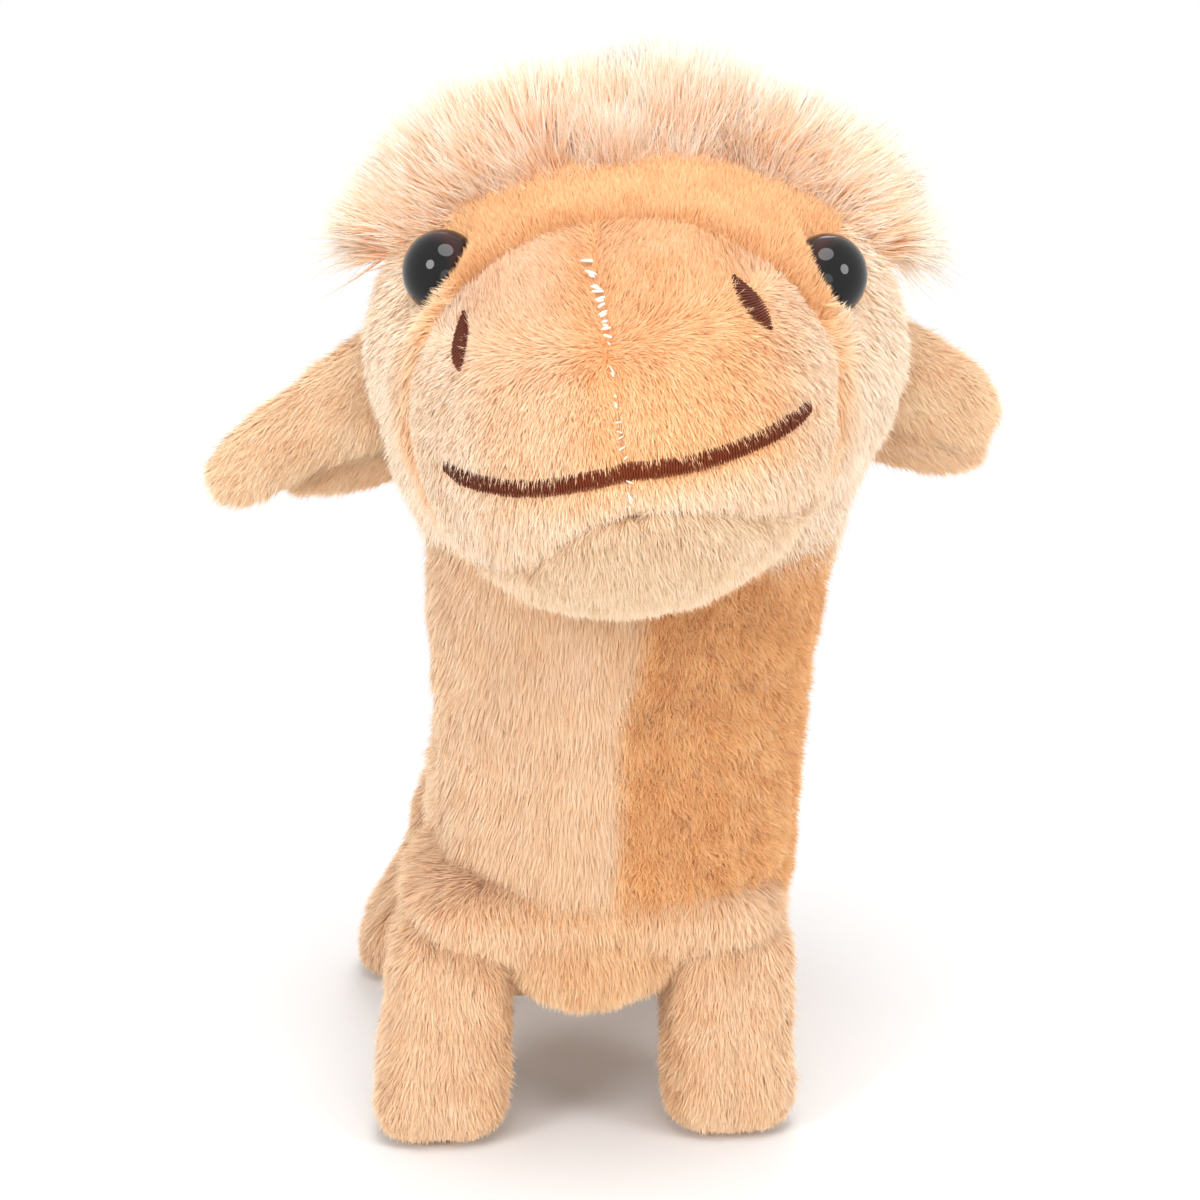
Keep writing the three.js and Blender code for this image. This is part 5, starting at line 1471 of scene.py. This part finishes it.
def nose_loop(share):
    return 1.45 - 0.7 * share


def lip_loop(share):
    return 0.35 + 0.5 * abs(math.sin(9 * share))


stitched("mouth_stitches", MOUTH, SATIN_PITCH, mouth_width, SATIN_THICK, raise_mm=1.0,
         finish=brown_thread, slant=0.12)
for hand, line in NOSTRILS.items():
    widest = NOSTRIL_HALF[hand]
    stitched(hand + "_nostril_stitches", line, SATIN_PITCH,
             lambda share: widest * math.sin(math.pi * share) ** 0.75, SATIN_THICK, raise_mm=1.0,
             finish=brown_thread, slant=-0.1)
stitched("nose_seam_loops", NOSE_SEAM[:4], 1.0, nose_loop, thick=0.33, raise_mm=1.4,
         finish=white_thread, slant=0.3, wobble=0.8, drift=0.9, vary=0.35)
stitched("lip_seam_loops", NOSE_SEAM[3:], 2.2, lip_loop, thick=0.17, raise_mm=1.0,
         finish=white_thread, slant=0.9, wobble=1.4, drift=1.2, vary=0.4)

# %% [markdown]
# ## Hard parts
#
# The parts inside, and the door and the switch on the belly, keep the shapes that the
# model gives them. Each gets the finish of what it is moulded, turned or printed from:
# a fine grain in the plastics, a brushed grain in the metals, a paper wrap on the cells.


# %% Finishes of the hard parts
def hard_finish(name, dark, light, rough, metal=0.0, scale=900, grain=0.25, stretch=(1, 1, 1)):
    """a moulded or metal surface: a slow drift of tone and a fine grain in gloss and bump"""
    mat, nodes, links = material(name)
    shader = nodes["Principled BSDF"]
    place = nodes.new("ShaderNodeTexCoord")
    squeeze = nodes.new("ShaderNodeMapping")
    squeeze.inputs["Scale"].default_value = stretch
    links.new(place.outputs["Object"], squeeze.inputs["Vector"])
    fine = nodes.new("ShaderNodeTexNoise")
    fine.inputs["Scale"].default_value = scale
    fine.inputs["Detail"].default_value = 3
    links.new(squeeze.outputs["Vector"], fine.inputs["Vector"])
    slow = noise_node(nodes, links, place, scale=60, detail=2)
    level = math_node(nodes, links, "ADD", math_node(nodes, links, "MULTIPLY", fine.outputs["Fac"], 0.4),
                      math_node(nodes, links, "MULTIPLY", slow.outputs["Fac"], 0.6))
    colour = ramp(nodes, [(0.3, dark), (0.7, light)])
    links.new(level, colour.inputs["Fac"])
    links.new(colour.outputs["Color"], shader.inputs["Base Color"])
    gloss = nodes.new("ShaderNodeMapRange")
    gloss.inputs["To Min"].default_value = rough - 0.08
    gloss.inputs["To Max"].default_value = rough + 0.08
    links.new(fine.outputs["Fac"], gloss.inputs["Value"])
    links.new(gloss.outputs["Result"], shader.inputs["Roughness"])
    bump = nodes.new("ShaderNodeBump")
    bump.inputs["Strength"].default_value = grain
    bump.inputs["Distance"].default_value = 0.0002
    links.new(fine.outputs["Fac"], bump.inputs["Height"])
    links.new(bump.outputs[0], shader.inputs["Normal"])
    shader.inputs["Metallic"].default_value = metal
    return mat


HARD = {
    "chassis_plastic": hard_finish("chassis_white", rgb(206, 203, 196), rgb(224, 222, 216), 0.5),
    "door_plastic": hard_finish("door_tan", rgb(214, 176, 132), rgb(228, 192, 150), 0.55, grain=0.5),
    "nylon": hard_finish("gear_nylon", rgb(228, 226, 214), rgb(242, 240, 230), 0.4),
    "steel": hard_finish("bright_steel", rgb(150, 150, 154), rgb(190, 190, 194), 0.3, 1.0,
                         stretch=(1, 1, 12)),
    "cell_wrap": hard_finish("cell_wrap", rgb(28, 52, 70), rgb(40, 70, 92), 0.32, grain=0.1),
    "board_green": hard_finish("board_green", rgb(18, 74, 44), rgb(30, 98, 60), 0.35, scale=500),
    "black_plastic": hard_finish("black_plastic", rgb(24, 24, 26), rgb(40, 40, 43), 0.5),
}
slots = {part["node"]: part["material_slot"] for part in frame["record"]["subparts"]}
dressed = 0
for node_name, slot_name in slots.items():
    obj = bpy.data.objects.get(node_name)
    if obj is not None and slot_name in HARD:
        obj.data.materials.clear()
        obj.data.materials.append(HARD[slot_name])
        dressed += 1
print(dressed, "hard parts have their finish")

# %% Remove the fibre templates, and finish
for template in (short_fibre, long_fibre):
    bpy.data.objects.remove(template)
